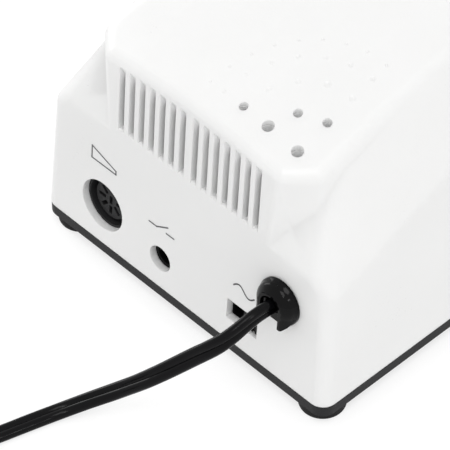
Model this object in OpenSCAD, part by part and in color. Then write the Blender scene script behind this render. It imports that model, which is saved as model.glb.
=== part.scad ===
// Nail drill machine: desktop control box with a vented rear hump and bit wells in its deck.
// Millimetres. +Z is up, +Y is the rear with the sockets and the mains cord, z = 0 is the table.

/* [Box] */
// Width of the box at the seam
body_w = 114.4; // [108:0.2:126]
// Depth of the box at the seam
body_d = 138; // [132:0.5:150]
// Radius of the rounded outer edges
edge_r = 4.5; // [4:0.1:5]
// Wall of the upper housing
wall = 2.4; // [2:0.1:2.8]
// Lean of the rear panel, in degrees
rear_lean = 4.4; // [3:0.1:6]
// Lean of the side walls, in degrees
side_lean = 2.4; // [1.5:0.1:3]
// Height of the side crease above the seam, at the rear
crease_h = 38.2; // [36:0.2:41]
// Rise of the side crease for each unit forward
crease_rise = 0.43; // [0.35:0.01:0.5]

/* [Deck] */
// Rise of the deck to the front, in degrees
deck_tilt = 16; // [14:0.5:18]
// Height of the deck's rounding centre above the seam, at its rear edge
deck_h = 69.5; // [67:0.5:73]
// Radius of the crown across the deck
crown_r = 180; // [150:5:260]
// Half width of the hump at its rear, at the rounding centres
hump_x = 31.8; // [31.4:0.1:32.4]
// Half width of the hump in front of its cut corners
hump_side = 37.9; // [37.4:0.1:38.4]
// Depth at which the cut corners end
hump_cut = 14.7; // [14:0.1:15.4]
// Half width of the deck where the hips reach it
hip_x = 36.5; // [35.5:0.1:38]
// Depth behind which the hips fall away
hip_in = 24.5; // [22:0.5:27]
// Half width of the deck at its front edge
apex_x = 39.5; // [38:0.1:41]

/* [Vents] */
// Slots on each side of the middle
slot_count = 7; // [5:1:7]
// Pitch of the slots
slot_pitch = 4; // [3.6:0.1:4.1]
// Width of a slot
slot_w = 2.2; // [1.6:0.1:2.6]
// Extra space at the middle
slot_gap = 1; // [0:0.1:1.4]
// Bottom of the slots above the seam
slot_z = 46.4; // [45:0.2:50]
// Height of the slots at the middle
slot_h = 22.8; // [18:0.2:23]

/* [Bit wells] */
// Place of the corner well across the box
fan_x = -32; // [-32.2:0.1:-31]
// Place of the corner well in front of the rear seam
fan_in = 13.5; // [13:0.1:15]
// Radii of the four arcs of wells and dimples
fan_r = [11, 20.3, 27.8, 33];
// Bore for a 3.175 mm shank
well_big = 3.22; // [3.2:0.01:3.3]
// Bore for a 2.35 mm shank
well_small = 2.4; // [2.38:0.01:2.46]
// Wall of a bit tube's neck in the deck
neck_wall = 0.45; // [0.4:0.05:0.6]

/* [Base] */
// Height of the rubber feet
foot_h = 3.6; // [3:0.1:5]
// Diameter of the rubber feet
foot_d = 13.6; // [12.4:0.1:14]
// Distance of a foot's middle from the box's edges
foot_in = 7.5; // [7.4:0.1:8]
// Height of the base rim
base_h = 3.8; // [3.4:0.1:5]
// Floor of the base
floor_t = 2.2; // [1.8:0.1:2.6]

/* [Rear sockets] */
// Variable pedal socket: distance from the left side and height above the seam
din_from = [24.4, 14];
// Hole of the variable pedal socket
din_d = 16.6; // [16:0.1:17.4]
// Switch pedal socket: distance from the left side and height above the seam
jack_from = [48.6, 10.5];
// Hole of the switch pedal socket in the housing
jack_d = 8.3; // [7.6:0.1:9]
// Bore for a 6.35 mm plug
jack_bore = 6.45; // [6.4:0.01:6.52]
// Voltage selector: distance from the right side and height above the seam
pick_from = [32.8, 11.5];
// Window of the voltage selector
pick_size = [11.9, 7.1];
// Cord bush: distance from the right side and height above the seam
bush_from = [19.1, 28.5];
// Flange of the cord bush
bush_d = 14.6; // [14:0.1:16]
// Length of the cord bush outside the panel
bush_len = 4.6; // [4:0.1:5.4]

/* [Front panel] */
// Slope of the front, in degrees
front_tilt = 50; // [47:0.5:53]
// Height of the rounding centre over the front lip
lip_h = 9.6; // [9:0.1:11]
// Thickness of the front panel
panel_t = 2; // [1.8:0.1:2.4]
// Depth of the panel's seat in the housing
panel_seat = 1.2; // [1:0.1:1.4]
// Height of the rocker row along the slope
rocker_v = 22; // [21:0.5:24]
// Pitch of the rockers
rocker_u = 28; // [24:0.5:29]
// Rocker's tilt at rest, in degrees
rocker_tilt = 9; // [6:0.5:9]
// Speed knob's place along the slope
knob_v = 56; // [55:0.5:60]
// Diameter of the speed knob
knob_d = 34; // [28:0.5:35]
// Indicator and handpiece socket: place along the slope
side_v = 62; // [60:0.5:64]
// Bore for a 3.5 mm plug
hand_bore = 3.6; // [3.56:0.01:3.66]

/* [Inside] */
// Transformer core: across, deep and high
core_size = [54, 20, 45];
// Middle of the transformer from front to back
core_y = 10.1; // [8.1:0.1:11.1]
// Circuit board: across and deep
board_size = [80, 47];
// Middle of the circuit board behind the front edge
board_in = 33.97; // [33.5:0.01:34.5]
// Height of the board's standoffs
stand_h = 6; // [5:0.5:7]

/* [Mains cord] */
// Width of the flat twin cord
cord_w = 5.2; // [5:0.1:5.8]
// Thickness of the flat twin cord
cord_t = 3; // [2.6:0.1:3.2]
// Outer radius of the coil, at the middle of the cord
coil_r = 38; // [37:0.5:40]
// Pitch of the coil's turns
coil_pitch = 3.8; // [3.7:0.1:4]
// Space between the coil's two layers
coil_space = 0.6; // [0.5:0.1:1]
// Plug body: wide, thick and long
plug_size = [25, 15, 32];

/* [Hidden] */
$fn = 48;
fit = 0.3;
seam_z = foot_h + base_h;
floor_z = foot_h + floor_t;
bush_tip = bush_d / 2 - 2.9;
bush_out = bush_len * cos(rear_lean) - (bush_from[1] - bush_tip) * sin(rear_lean);
rear_y = (body_d - bush_out) / 2;
front_y = rear_y - body_d;
in_r = edge_r - wall;
td = tan(deck_tilt);
tf = tan(front_tilt);
lip_y = edge_r - body_d;

// Rounding centres, with y from the rear seam and z from the seam
function side_c(z) = body_w / 2 - z * tan(side_lean) - edge_r;
function rear_c(z) = -z * tan(rear_lean) - edge_r;
function hump_c(z) = rear_c(z) + (z - crease_h) * tan(0.6);
deck_in = -hump_c(deck_h);
function sag(x) = x * x / (2 * crown_r);
function deck_c(x, y) = deck_h + td * (-y - deck_in) - sag(x);
function apex_y(x) = (deck_h - td * deck_in - sag(x) - lip_h + tf * lip_y) / (tf + td);
crease_y = rear_c(crease_h);
crease_fy = (crease_h + crease_rise * crease_y - lip_h + tf * lip_y) / (tf + crease_rise);
crease_fz = crease_h + crease_rise * (crease_y - crease_fy);
shelf_x = side_c(crease_h) - 3.6;
shelf_z = crease_h + 3.8;
hump_run = hip_in + 20;
slot_deep = 8;
slot_lip = 0.6;
both = [-1, 1];
rows = [-3:3];
body_pts = concat(
    [for (s = both) [s * side_c(0), rear_c(0), 0]],
    [for (s = both) [s * side_c(0), lip_y, 0]],
    [for (s = both) [s * side_c(lip_h), lip_y, lip_h]],
    [for (s = both) [s * side_c(crease_h), crease_y, crease_h]],
    [for (s = both) [s * shelf_x, rear_c(shelf_z), shelf_z]],
    [for (s = both) [s * side_c(crease_fz), crease_fy, crease_fz]],
    [for (k = rows) let (x = k * hip_x / 3) [x, -hip_in, deck_c(x, -hip_in)]],
    [for (k = rows) let (x = k * apex_x / 3, y = apex_y(x)) [x, y, deck_c(x, y)]]
);
// Upright cut corners of the hump
function flank_x(y) = hump_x + (hump_side - hump_x) * (hump_c(deck_h) - y) / (hump_c(deck_h) + hump_cut);
hump_low = 8;
hump_pts = concat(
    [for (s = both, y = [hump_c(hump_low), -hump_cut]) [s * flank_x(y), y, hump_low]],
    [for (s = both) [s * hump_side, -hump_run, hump_low]],
    [for (k = rows) let (x = k * hump_x / 3, z = deck_h - sag(x)) [x, hump_c(z), z]],
    [for (s = both) [s * hump_side, -hump_cut, deck_c(hump_side, -hump_cut)]],
    [for (k = rows) let (x = k * hump_side / 3) [x, -hump_run, deck_c(x, -hump_run) - 0.2]]
);
// Heights of the deck's inner and outer faces above the table
function deck_under(x, y) = seam_z + deck_c(x, y) + in_r * 1.05;
function deck_over(x, y) = seam_z + deck_c(x, y) + edge_r * 1.045;

// Front slope
apex_v = norm([apex_y(0) - lip_y, deck_c(0, apex_y(0)) - lip_h]);
crease_v = norm([crease_fy - lip_y, crease_fz - lip_h]);
panel_half = body_w / 2 - 11.2;
panel_low = 4;
panel_gap = 0.2;
panel_ledge = 4;
function panel_pts(i) = [
    [-panel_half + i, panel_low + i],
    [panel_half - i, panel_low + i],
    [panel_half - i, crease_v - 3.5 - i / 2],
    [apex_x - 4.5 - i, apex_v - 5.3 - i],
    [-apex_x + 4.5 + i, apex_v - 5.3 - i],
    [-panel_half + i, crease_v - 3.5 - i / 2]
];
panel_top = panel_t - panel_seat;

// Base and its fixings
rim_w = 4.4;
lip_gap = 0.4;
lip_up = 3;
post_x = body_w / 2 - foot_in;
post_r = 2.9;
screw_r = 1.4;
screw_top = seam_z + 9;
post_ys = [rear_y - foot_in, front_y + foot_in];

// Bit wells: arc radius, angle and bore
wells = [
    [0, 0, well_big],
    [fan_r[0], 0, well_big],
    [fan_r[0], 45, well_small],
    [fan_r[0], 90, well_small],
    [fan_r[1], 0, well_small]
];
dimples = concat(
    [for (k = [1:4]) [fan_r[1], k * 22.5, 2.6]],
    [for (k = [0:6]) [fan_r[2], k * 15, 2.1]],
    [for (k = [0:8]) [fan_r[3], k * 11.25, 1.1]]
);
function fan_at(w) = [fan_x + w[0] * cos(w[1]), -fan_in - w[0] * sin(w[1])];
block_z = deck_h - 17.5;
block_t = 3;
tube_seat = 1.2;
tube_floor = 0.3;
well_lead = 0.1;
well_lip = 0.6;
lip_slope = 0.34;
neck_gap = 0.05;
dimple_deep = 0.32;
block_hang = [[-13.5, -25.2], [-31.5, -32.6]];
function tube_r(w) = w[2] / 2 + 2.1;
function neck_r(w) = w[2] / 2 + neck_wall;
function neck_top(w) = let (p = fan_at(w)) deck_over(p[0], p[1]) - lip_slope * neck_r(w) - well_lip;
function tube_top(w) = let (p = fan_at(w))
    deck_under(p[0], p[1]) - tube_r(w) * (td + abs(p[0]) / crown_r) - fit - 0.1;

// Places of the rear sockets across the box
din_at = [body_w / 2 - din_from[0], din_from[1]];
jack_at = [body_w / 2 - jack_from[0], jack_from[1]];
pick_at = [pick_from[0] - body_w / 2, pick_from[1]];
bush_at = [bush_from[0] - body_w / 2, bush_from[1]];

// Mouth of the cord bush: radius, depth and half its straight part
mouth = [3.4, 2.4, 0.5];
// Rim of its flange, and how far its arch and its legs reach below the middle
bush_rim = 0.9;
bush_arch = 2;
bush_leg = 5.6;
leg_in = 0.2;
leg_low = 0.1;

// Handpiece socket
hand_deep = 18;
hand_r = 7.5;

// Voltage selector
pick_knob = [5.5, pick_size[1] - 1];
pick_throw = pick_size[0] - pick_knob[0] - 1.4;

// Rocker switches
rock_body = [13, 19.6];
rock_hole = [10.6, 18.4];
rock_wide = rock_hole[0] - 2 * fit;
rock_flange = [15, 21.4];
rock_proud = 1.8;
pivot_z = panel_top - 0.4;
pivot_r = 1.1;
rockers = [-rocker_u, 0, rocker_u];
tag_x = [-2.4, 2.4];
tag_y = [-0.4, 0.4];
tag_z = [-20, -14];
tag_pitch = 5.5;

// Speed control
pot_r = 8.5;
pot_deep = 10.5;
lug_x = [-6, 6];
lug_y = [-13, -7];
lug_z = [-9.5, -8];
shaft_r = 3;
bush_r = 3.5;
knob_h = 13;
knob_low = panel_top + 1;
knob_cup = 6.2;

// Circuit board
board_y = front_y + board_in;
board_z = floor_z + stand_h;
board_t = 1.6;
board_top = board_z + board_t;
stand_at = [
    for (sx = both, sy = both)
        [sx * (board_size[0] / 2 - 4), board_y + sy * (board_size[1] / 2 - 4)]
];
fuse_at = [-2, board_y + 4.5];
sink_at = [14, board_y + 15.5];
cap_at = [-26, board_y + 11.5];
cap_h = 25;
cap_r = 7.5;
sink_w = 30;
sink_h = 22;
fin_d = 5;
fin_pitch = 4;
rect_gap = 24;
rect_w = 15;

// Transformer
win_w = core_size[0] / 6;
leg_w = core_size[0] / 3;
bob_t = 1;
bob_x = leg_w / 2 + win_w - 0.4;
bob_y = core_size[1] / 2 + win_w - 1;
strap_t = 1;
strap_tab = 11;
strap_y = [-7, 7];
pad_h = 4;
core_top = floor_z + core_size[2];

// Route of the cord: x, y, z and roll of the flat section, in degrees from level
bush_y = rear_y - bush_at[1] * tan(rear_lean);
bush_z = seam_z + bush_at[1];
lie_z = cord_t / 2;
stand_z = cord_w / 2;
route = [for (p = [
    [0, -11, bush_z - 0.85, 90],
    [0, -1, bush_z - 0.08, 90],
    [0, 9.5, bush_z + 0.73, 90],
    [2.1, 19.3, 32.4, 105],
    [8.7, 25.5, 25, 125],
    [17.1, 32.7, 16, 145],
    [24.3, 37.3, 9, 160],
    [30.1, 43.3, 4.6, 172],
    [34.7, 50.4, lie_z + 0.3, 180],
    [37.5, 58.9, lie_z, 180],
    [40, 67.6, lie_z, 180],
    [42.7, 76.7, lie_z + 0.5, 160],
    [45.1, 84.7, stand_z + 0.2, 125],
    [47.5, 93.7, stand_z + 1.2, 90],
    [49.9, 102.7, stand_z + 1.2, 90]
]) [bush_at[0] + p[0], bush_y + p[1], p[2], p[3]]];
// Smooth curve through the route, two rings to a span
function spline(a, b, c, d, t) =
    0.5 * (2 * b + (c - a) * t + (2 * a - 5 * b + 4 * c - d) * t * t + (3 * b - a - 3 * c + d) * t * t * t);
function clip(i) = max(0, min(len(route) - 1, i));
lead_pts = concat(
    [for (i = [0:len(route) - 2], t = [0, 0.5])
        spline(route[clip(i - 1)], route[i], route[i + 1], route[clip(i + 2)], t)],
    [route[len(route) - 1]]
);

// Coil beside the route's end: one spiral in, half a turn up, one spiral out
coil_turns = 3.25;
coil_steps = 24;
coil_low = stand_z + 1.2;
coil_high = coil_low + cord_w + coil_space;
run_in = [lead_pts[len(lead_pts) - 1], lead_pts[len(lead_pts) - 2]];
run_dir = atan2(run_in[0][1] - run_in[1][1], run_in[0][0] - run_in[1][0]);
coil_mid = [
    run_in[0][0] + coil_r * sin(run_dir) + cord_w * cos(run_dir),
    run_in[0][1] - coil_r * cos(run_dir) + cord_w * sin(run_dir)
];
turns_all = 2 * coil_turns + 0.5;
function coil_rad(t) =
    t < coil_turns ? coil_r - coil_pitch * t :
    t < coil_turns + 0.5 ? coil_r - coil_pitch * (coil_turns + 0.35 * sin(360 * (t - coil_turns))) :
    coil_r - coil_pitch * (turns_all - t);
function ease(t) = t * t * (3 - 2 * t);
function coil_lift(t) = ease(max(0, min(1, 2 * (t - coil_turns))));
function coil_at(t) = let (a = run_dir + 90 - 360 * t) [
    coil_mid[0] + coil_rad(t) * cos(a),
    coil_mid[1] + coil_rad(t) * sin(a),
    coil_low + (coil_high - coil_low) * coil_lift(t),
    90
];
coil_n = round(turns_all * coil_steps);
out_dir = run_dir - 360 * turns_all;
coil_tip = coil_at(turns_all);
plug_z = plug_size[1] / 2;
tip_len = 40;
function tip_on(d, z, roll) = [coil_tip[0] + d * cos(out_dir), coil_tip[1] + d * sin(out_dir), z, roll];
coil_pts = concat(
    [run_in[0]],
    [for (i = [0:coil_n]) coil_at(turns_all * i / coil_n)],
    [for (d = [0.15, 0.4, 0.7, 0.9, 1])
        tip_on(tip_len * d, coil_high - (coil_high - plug_z) * ease(d), 90 - 90 * ease(d))]
);
plug_back = tip_on(tip_len, plug_z, 0);
// Least gap of the coil to itself, measured between points at least half a turn apart
coil_gap = min([
    for (i = [1:coil_n], j = [i + coil_steps / 2:1:coil_n])
        max(norm([coil_pts[i][0] - coil_pts[j][0], coil_pts[i][1] - coil_pts[j][1]]) - cord_t,
            abs(coil_pts[i][2] - coil_pts[j][2]) - cord_w)
]);
echo(coil_gap = coil_gap);
function path_len(p, i = 1) = i >= len(p) ? 0 :
    norm([for (k = [0:2]) p[i][k] - p[i - 1][k]]) + path_len(p, i + 1);
echo(cord_length = path_len(lead_pts) + path_len(coil_pts));

// Flat twin cord swept along points that carry their roll
function along(p, i) = let (
    a = p[max(0, i - 1)],
    b = p[min(len(p) - 1, i + 1)],
    d = [b[0] - a[0], b[1] - a[1], b[2] - a[2]]
) d / norm(d);
function ring(p, i, n) = let (
    t = along(p, i),
    h = [-t[1], t[0], 0] / norm([t[0], t[1]]),
    v = cross(t, h),
    w = h * cos(p[i][3]) + v * sin(p[i][3]),
    q = cross(t, w)
) [for (k = [0:n - 1]) [p[i][0], p[i][1], p[i][2]]
    + w * cord_w / 2 * cos(360 * k / n) + q * cord_t / 2 * sin(360 * k / n)];
module swept(p, n) {
    m = len(p);
    polyhedron(
        points = [for (i = [0:m - 1]) each ring(p, i, n)],
        faces = concat(
            [[for (k = [n - 1:-1:0]) k]],
            [[for (k = [0:n - 1]) (m - 1) * n + k]],
            [for (i = [0:m - 2], k = [0:n - 1]) [i * n + k, i * n + (k + 1) % n, (i + 1) * n + k]],
            [for (i = [0:m - 2], k = [0:n - 1])
                [i * n + (k + 1) % n, (i + 1) * n + (k + 1) % n, (i + 1) * n + k]]
        ),
        convexity = 10
    );
}

// Shared shapes
module at_rear(p) {
    translate([p[0], rear_y, seam_z]) rotate([rear_lean, 0, 0]) translate([0, 0, p[1]]) children();
}
module at_front(u, v) {
    translate([0, rear_y + lip_y, seam_z + lip_h])
        rotate([front_tilt, 0, 0])
            translate([u, v, edge_r]) children();
}
module rod_y(a, b, r) {
    translate([0, a, 0]) rotate([-90, 0, 0]) cylinder(h = b - a, r = r);
}
module rod_z(a, b, r) {
    translate([0, 0, a]) cylinder(h = b - a, r = r);
}
module box(x, y, z) {
    translate([x[0], y[0], z[0]]) cube([x[1] - x[0], y[1] - y[0], z[1] - z[0]]);
}
module outline(i) {
    r = max(edge_r - i, 0.8);
    w = body_w / 2 - i;
    d = body_d / 2 - i;
    translate([0, (rear_y + front_y) / 2]) {
        square([2 * w - 2 * r, 2 * d], center = true);
        square([2 * w, 2 * d - 2 * r], center = true);
        for (sx = both, sy = both) translate([sx * (w - r), sy * (d - r)]) circle(r);
    }
}
module blob(pts, r) {
    hull() for (p = pts) translate([p[0], rear_y + p[1], seam_z + p[2]]) sphere(r, $fn = 24);
}

// Upper housing: one moulding with the vents, the socket holes, the screw posts and the hangers
module housing() {
    color("white") difference() {
        union() {
            difference() {
                intersection() {
                    union() {
                        blob(body_pts, edge_r);
                        blob(hump_pts, edge_r);
                    }
                    box([-body_w, body_w], [front_y - 20, rear_y + 20], [seam_z, seam_z + 200]);
                }
                blob(body_pts, in_r);
                blob(hump_pts, in_r);
            }
            housing_posts();
            block_hangers();
        }
        vent_slots();
        rear_holes();
        deck_holes();
        panel_seat_cut();
        for (sx = both, y = post_ys) translate([sx * post_x, y, 0])
            rod_z(floor_z - 1, screw_top + 1, screw_r + 0.1);
        for (p = block_hang) translate([p[0], rear_y + p[1], seam_z + block_z]) rod_z(0, 12, screw_r - 0.1);
    }
}
module housing_posts() {
    wall_x = body_w / 2 - wall / 2 - 20 * tan(side_lean);
    for (sx = both, k = [0, 1]) {
        top = k == 0 ? 20 : 11;
        translate([sx * post_x, post_ys[k], 0]) rod_z(floor_z, seam_z + top, post_r);
        mid_x = sx * (post_x + wall_x) / 2;
        translate([mid_x, post_ys[k], seam_z + 4 + (top - 4) / 2])
            cube([wall_x - post_x, 2, top - 4], center = true);
    }
}
module block_hangers() {
    for (p = block_hang) {
        translate([p[0], rear_y + p[1], 0])
            rod_z(seam_z + block_z + block_t, deck_under(p[0], p[1]) + wall / 2, 3.2);
    }
}
module vent_slots() {
    for (s = both, k = [0:slot_count - 1]) {
        x = s * (slot_gap / 2 + (k + 0.5) * slot_pitch);
        h = slot_h - sag(x) / 2;
        at_rear([x - slot_w / 2, slot_z]) rotate([90, 0, 90]) linear_extrude(height = slot_w)
            polygon([
                [4, -4 * slot_lip], [-slot_lip, 0], [-slot_deep, 0],
                [-slot_deep, h - 2 * slot_deep], [0, h], [4, h]
            ]);
    }
}
module rear_holes() {
    at_rear(din_at) rod_y(-wall - 1, 3, din_d / 2);
    at_rear(jack_at) rod_y(-wall - 1, 3, jack_d / 2);
    at_rear(pick_at)
        box([-pick_size[0] / 2, pick_size[0] / 2], [-wall - 1, 3], [-pick_size[1] / 2, pick_size[1] / 2]);
    at_rear(bush_at) rod_y(-wall - 1, 3, bush_d / 2 - 0.9);
}
module on_deck(p) {
    translate([p[0], rear_y + p[1], deck_over(p[0], p[1])])
        rotate([-deck_tilt, asin(p[0] / crown_r), 0]) children();
}
module deck_holes() {
    for (w = wells) {
        p = fan_at(w);
        translate([p[0], rear_y + p[1], neck_top(w)]) {
            rod_z(-0.02, 6, w[2] / 2 + well_lead);
            translate([0, 0, -4]) cylinder(h = 4, r1 = neck_r(w) + 0.4, r2 = neck_r(w) + 2 * neck_gap);
        }
    }
    for (w = dimples) {
        p = fan_at(w);
        on_deck(p) translate([0, 0, -dimple_deep])
            cylinder(h = 2 * dimple_deep, r1 = 0.2 * w[2], r2 = 0.8 * w[2]);
    }
}
module panel_seat_cut() {
    at_front(0, 0) {
        translate([0, 0, -panel_seat]) linear_extrude(height = 6) polygon(panel_pts(-panel_gap));
        translate([0, 0, -8]) linear_extrude(height = 9) polygon(panel_pts(panel_ledge));
    }
}

// Base: dark tray with a rim, a locating lip, board standoffs and strap pads
module base_plate() {
    color("dimgray") difference() {
        union() {
            difference() {
                translate([0, 0, foot_h]) linear_extrude(height = base_h) outline(0.15);
                translate([0, 0, floor_z]) linear_extrude(height = base_h) outline(rim_w);
            }
            difference() {
                translate([0, 0, foot_h + 1])
                    linear_extrude(height = base_h - 1 + lip_up) outline(wall + lip_gap);
                translate([0, 0, foot_h]) linear_extrude(height = base_h + lip_up + 1) outline(rim_w);
            }
            for (p = stand_at) translate([p[0], p[1], 0]) rod_z(floor_z - 0.5, board_z, 3);
            for (s = both) translate([s * strap_x(), core_y, 0]) rod_z(floor_z - 0.5, floor_z + pad_h, 4.5);
        }
        for (sx = both, y = post_ys) translate([sx * post_x, y, 0])
            rod_z(foot_h - 1, floor_z + 1, screw_r + 0.3);
        for (p = stand_at) translate([p[0], p[1], 0]) rod_z(floor_z, board_z + 1, 1.3);
        for (s = both) translate([s * strap_x(), core_y, 0]) rod_z(floor_z - 1, floor_z + pad_h + 1, 1.7);
    }
}
function strap_x() = core_size[0] / 2 + 0.2 + strap_t + strap_tab / 2;

// Rubber feet with a sunk hole for the housing screw
module feet() {
    color("black") for (sx = both, y = post_ys) translate([sx * post_x, y, 0]) difference() {
        rod_z(0, foot_h, foot_d / 2);
        rod_z(-1, foot_h - 1.4, 3.7);
        rod_z(0, foot_h + 1, screw_r + 0.3);
    }
}
module housing_screws() {
    color("silver") for (sx = both, y = post_ys) translate([sx * post_x, y, 0]) {
        difference() {
            union() {
                rod_z(foot_h - 3, foot_h - 1.4, 3.2);
                rod_z(foot_h - 1.5, screw_top, screw_r);
            }
            box([-2.2, 2.2], [-0.35, 0.35], [foot_h - 4, foot_h - 2.2]);
            box([-0.35, 0.35], [-2.2, 2.2], [foot_h - 4, foot_h - 2.2]);
        }
    }
}

// Front panel plate, seated in the housing's slope
module front_panel() {
    color("dimgray") difference() {
        at_front(0, 0) translate([0, 0, -panel_seat]) linear_extrude(height = panel_t) polygon(panel_pts(0));
        for (u = rockers) at_front(u, rocker_v)
            box([-rock_body[0] / 2 - 0.1, rock_body[0] / 2 + 0.1],
                [-rock_body[1] / 2 - 0.1, rock_body[1] / 2 + 0.1], [-4, 4]);
        at_front(0, knob_v) rod_z(-4, 4, bush_r + 0.1);
        at_front(-rocker_u, side_v) rod_z(-4, 4, 3.5);
        at_front(rocker_u, side_v) rod_z(-4, 4, 5.1);
    }
}

// Bit holder: a plate with one pressed-in tube for each well, its neck under the deck's hole
module bit_block() {
    low = seam_z + block_z;
    color("gainsboro") difference() {
        union() {
            translate([0, rear_y, low]) linear_extrude(height = block_t) polygon([
                [fan_x - 4.2, -fan_in - 23],
                [fan_x + fan_r[1] + 4.2, -fan_in - 23],
                [fan_x + fan_r[1] + 4.2, -fan_in + 4],
                [fan_x - 2, -fan_in + 4],
                [fan_x - 4.2, -fan_in + 1.9]
            ]);
            translate([block_hang[1][0], rear_y + block_hang[1][1], low]) rod_z(0, block_t, 4);
        }
        for (w = wells) translate([fan_at(w)[0], rear_y + fan_at(w)[1], 0])
            rod_z(low + block_t - tube_seat, low + block_t + 1, tube_r(w) + 0.03);
        for (p = block_hang) translate([p[0], rear_y + p[1], low]) rod_z(-1, block_t + 1, screw_r + 0.1);
    }
}
module bit_tubes() {
    low = seam_z + block_z + block_t;
    color("white") for (w = wells) translate([fan_at(w)[0], rear_y + fan_at(w)[1], 0]) difference() {
        union() {
            rod_z(low - tube_seat + 0.02, tube_top(w), tube_r(w));
            rod_z(low, neck_top(w) - neck_gap, neck_r(w));
        }
        rod_z(low + tube_floor, neck_top(w) + 1, w[2] / 2);
    }
}
module bit_block_screws() {
    color("silver") for (p = block_hang) translate([p[0], rear_y + p[1], seam_z + block_z]) difference() {
        union() {
            rod_z(-1.8, 0, 2.8);
            rod_z(-0.1, 10, screw_r - 0.2);
        }
        box([-2, 2], [-0.3, 0.3], [-3, -0.9]);
    }
}

// Cord bush: flange, barrel through the wall and a head that arches over the cord on two legs
module bush_slot(a, b, gap) {
    r = cord_t / 2 + gap;
    h = (cord_w - cord_t) / 2;
    for (s = both) translate([0, 0, s * h]) rod_y(a, b, r);
    box([-r, r], [a, b], [-h, h]);
}
function bush_side(r, top) = [
    [r, 0.05], [r, bush_rim], [r - 0.4, 1.5], [r - 0.7, 2.6],
    [r - 1.3, 3.4 * bush_len / 4.6], [r - 2.1, 4.1 * bush_len / 4.6], [r - bush_d / 2 + bush_tip, top]
];
function mirrored(p) = [for (i = [len(p) - 1:-1:0]) [-p[i][0], p[i][1]]];
module bush_head() {
    r = bush_d / 2;
    leg = bush_side(r - leg_in, bush_len - leg_low);
    rod_y(0.05, bush_rim, r);
    intersection() {
        rotate([-90, 0, 0]) rotate_extrude()
            polygon(concat([[0, 0.05]], bush_side(r, bush_len), [[0, bush_len]]));
        box([-r - 1, r + 1], [0, bush_len + 1], [-bush_arch, r + 1]);
    }
    intersection() {
        rod_y(0.05, bush_len, r - leg_low);
        translate([0, 0, -bush_leg]) linear_extrude(bush_leg) polygon(concat(leg, mirrored(leg)));
    }
}
module cord_bush() {
    color("black") at_rear(bush_at) difference() {
        union() {
            bush_head();
            rod_y(-wall - 6, 1, bush_d / 2 - 1.2);
        }
        bush_slot(-20, 20, fit);
        for (s = both) translate([0, 0, s * mouth[2]]) rod_y(bush_len - mouth[1], bush_len + 1, mouth[0]);
        box([-mouth[0], mouth[0]], [bush_len - mouth[1], bush_len + 1], [-mouth[2], mouth[2]]);
        box([-1.2, 1.2], [-wall - 8, -wall - 1], [4, 9]);
        box([-mouth[0], mouth[0]], [bush_len - mouth[1], bush_len + 1], [-bush_d, 0]);
    }
}
module bush_wedge() {
    color("black") at_rear(bush_at)
        box([cord_t / 2 + fit, mouth[0] - 0.4], [bush_len - mouth[1] + 0.02, bush_len - 0.7], [-1.9, 1.9]);
}

// Variable pedal socket: black cup, screen, insert and contacts
din_in = 0.6;
din_deep = 12;
din_ring = 7.6;
din_core = 6.1;
din_slot = [1.1, 2.8];
din_case_x = [-10, 10];
din_case_z = [-9, 10];
module din_body() {
    color("black") at_rear(din_at) difference() {
        union() {
            rod_y(-wall - din_deep - 3, -wall - 0.02, din_d / 2 + 1.2);
            box(din_case_x, [-wall - din_deep - 3, -wall - 3], din_case_z);
        }
        rod_y(-wall - din_deep, 1, din_ring);
    }
}
module din_shell() {
    color("silver") at_rear(din_at) difference() {
        rod_y(-wall - din_deep, -wall - 4, din_ring - 0.05);
        rod_y(-wall - din_deep - 1, 1, din_ring - 0.5);
    }
}
din_pins = concat([[0, 0, 0]], [for (k = [1:7]) [3.6 * sin(45 * k), 3.6 * cos(45 * k), 45 * k]]);
module at_pins() {
    for (p = din_pins) translate([p[0], 0, p[1]]) rotate([0, p[2], 0]) children();
}
module din_insert() {
    color("dimgray") at_rear(din_at) difference() {
        rod_y(-wall - din_deep, -wall - din_in - 0.3, din_core);
        at_pins() box([-din_slot[0] / 2, din_slot[0] / 2], [-wall - din_deep + 1, 1],
            [-din_slot[1] / 2, din_slot[1] / 2]);
        box([-1.1, 1.1], [-wall - din_deep + 2, 1], [din_core - 0.9, din_core + 1]);
    }
}
module din_contacts() {
    color("gold") at_rear(din_at) at_pins()
        box([-0.3, 0.3], [-wall - din_deep + 1, -wall - 5],
            [-din_slot[1] / 2 + 0.05, din_slot[1] / 2 - 0.05]);
}

// Switch pedal socket
jack_deep = 22;
tip_off = 1.8;
tip_r = 0.85;
module jack_body() {
    color("black") at_rear(jack_at) difference() {
        union() {
            box([-6, 6], [-wall - jack_deep - 4, -wall - 2], [-6, 6]);
            rod_y(-wall - 3, -wall - 0.02, 5.4);
        }
        rod_y(-wall - jack_deep, 1, jack_bore / 2);
        translate([tip_off, 0, 0]) rod_y(-wall - jack_deep - 5, -wall - jack_deep + 1, tip_r + 0.05);
    }
}
module jack_contact() {
    color("silver") at_rear(jack_at) translate([tip_off, 0, 0])
        rod_y(-wall - jack_deep - 7, -wall - jack_deep - 0.5, tip_r);
}

// Voltage selector: fixed track and a slider that stands at one end of it
module selector_body() {
    color("black") at_rear(pick_at) difference() {
        box([-11, 11], [-wall - 10, -wall - 0.02], [-pick_size[1] / 2 - 2.4, pick_size[1] / 2 + 2.4]);
        box([-pick_size[0] / 2 + 0.3, pick_size[0] / 2 - 0.3], [-wall - 4, 1],
            [-pick_size[1] / 2 + 0.2, pick_size[1] / 2 - 0.2]);
    }
}
module selector_slider() {
    color("black") at_rear([pick_at[0] - pick_throw / 2, pick_at[1]]) difference() {
        box([-pick_knob[0] / 2, pick_knob[0] / 2], [-wall - 4 + fit, -0.8],
            [-pick_knob[1] / 2, pick_knob[1] / 2]);
        for (k = [-1:1]) box([k * 1.5 - 0.35, k * 1.5 + 0.35], [-1.4, 1], [-6, 6]);
    }
}

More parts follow.
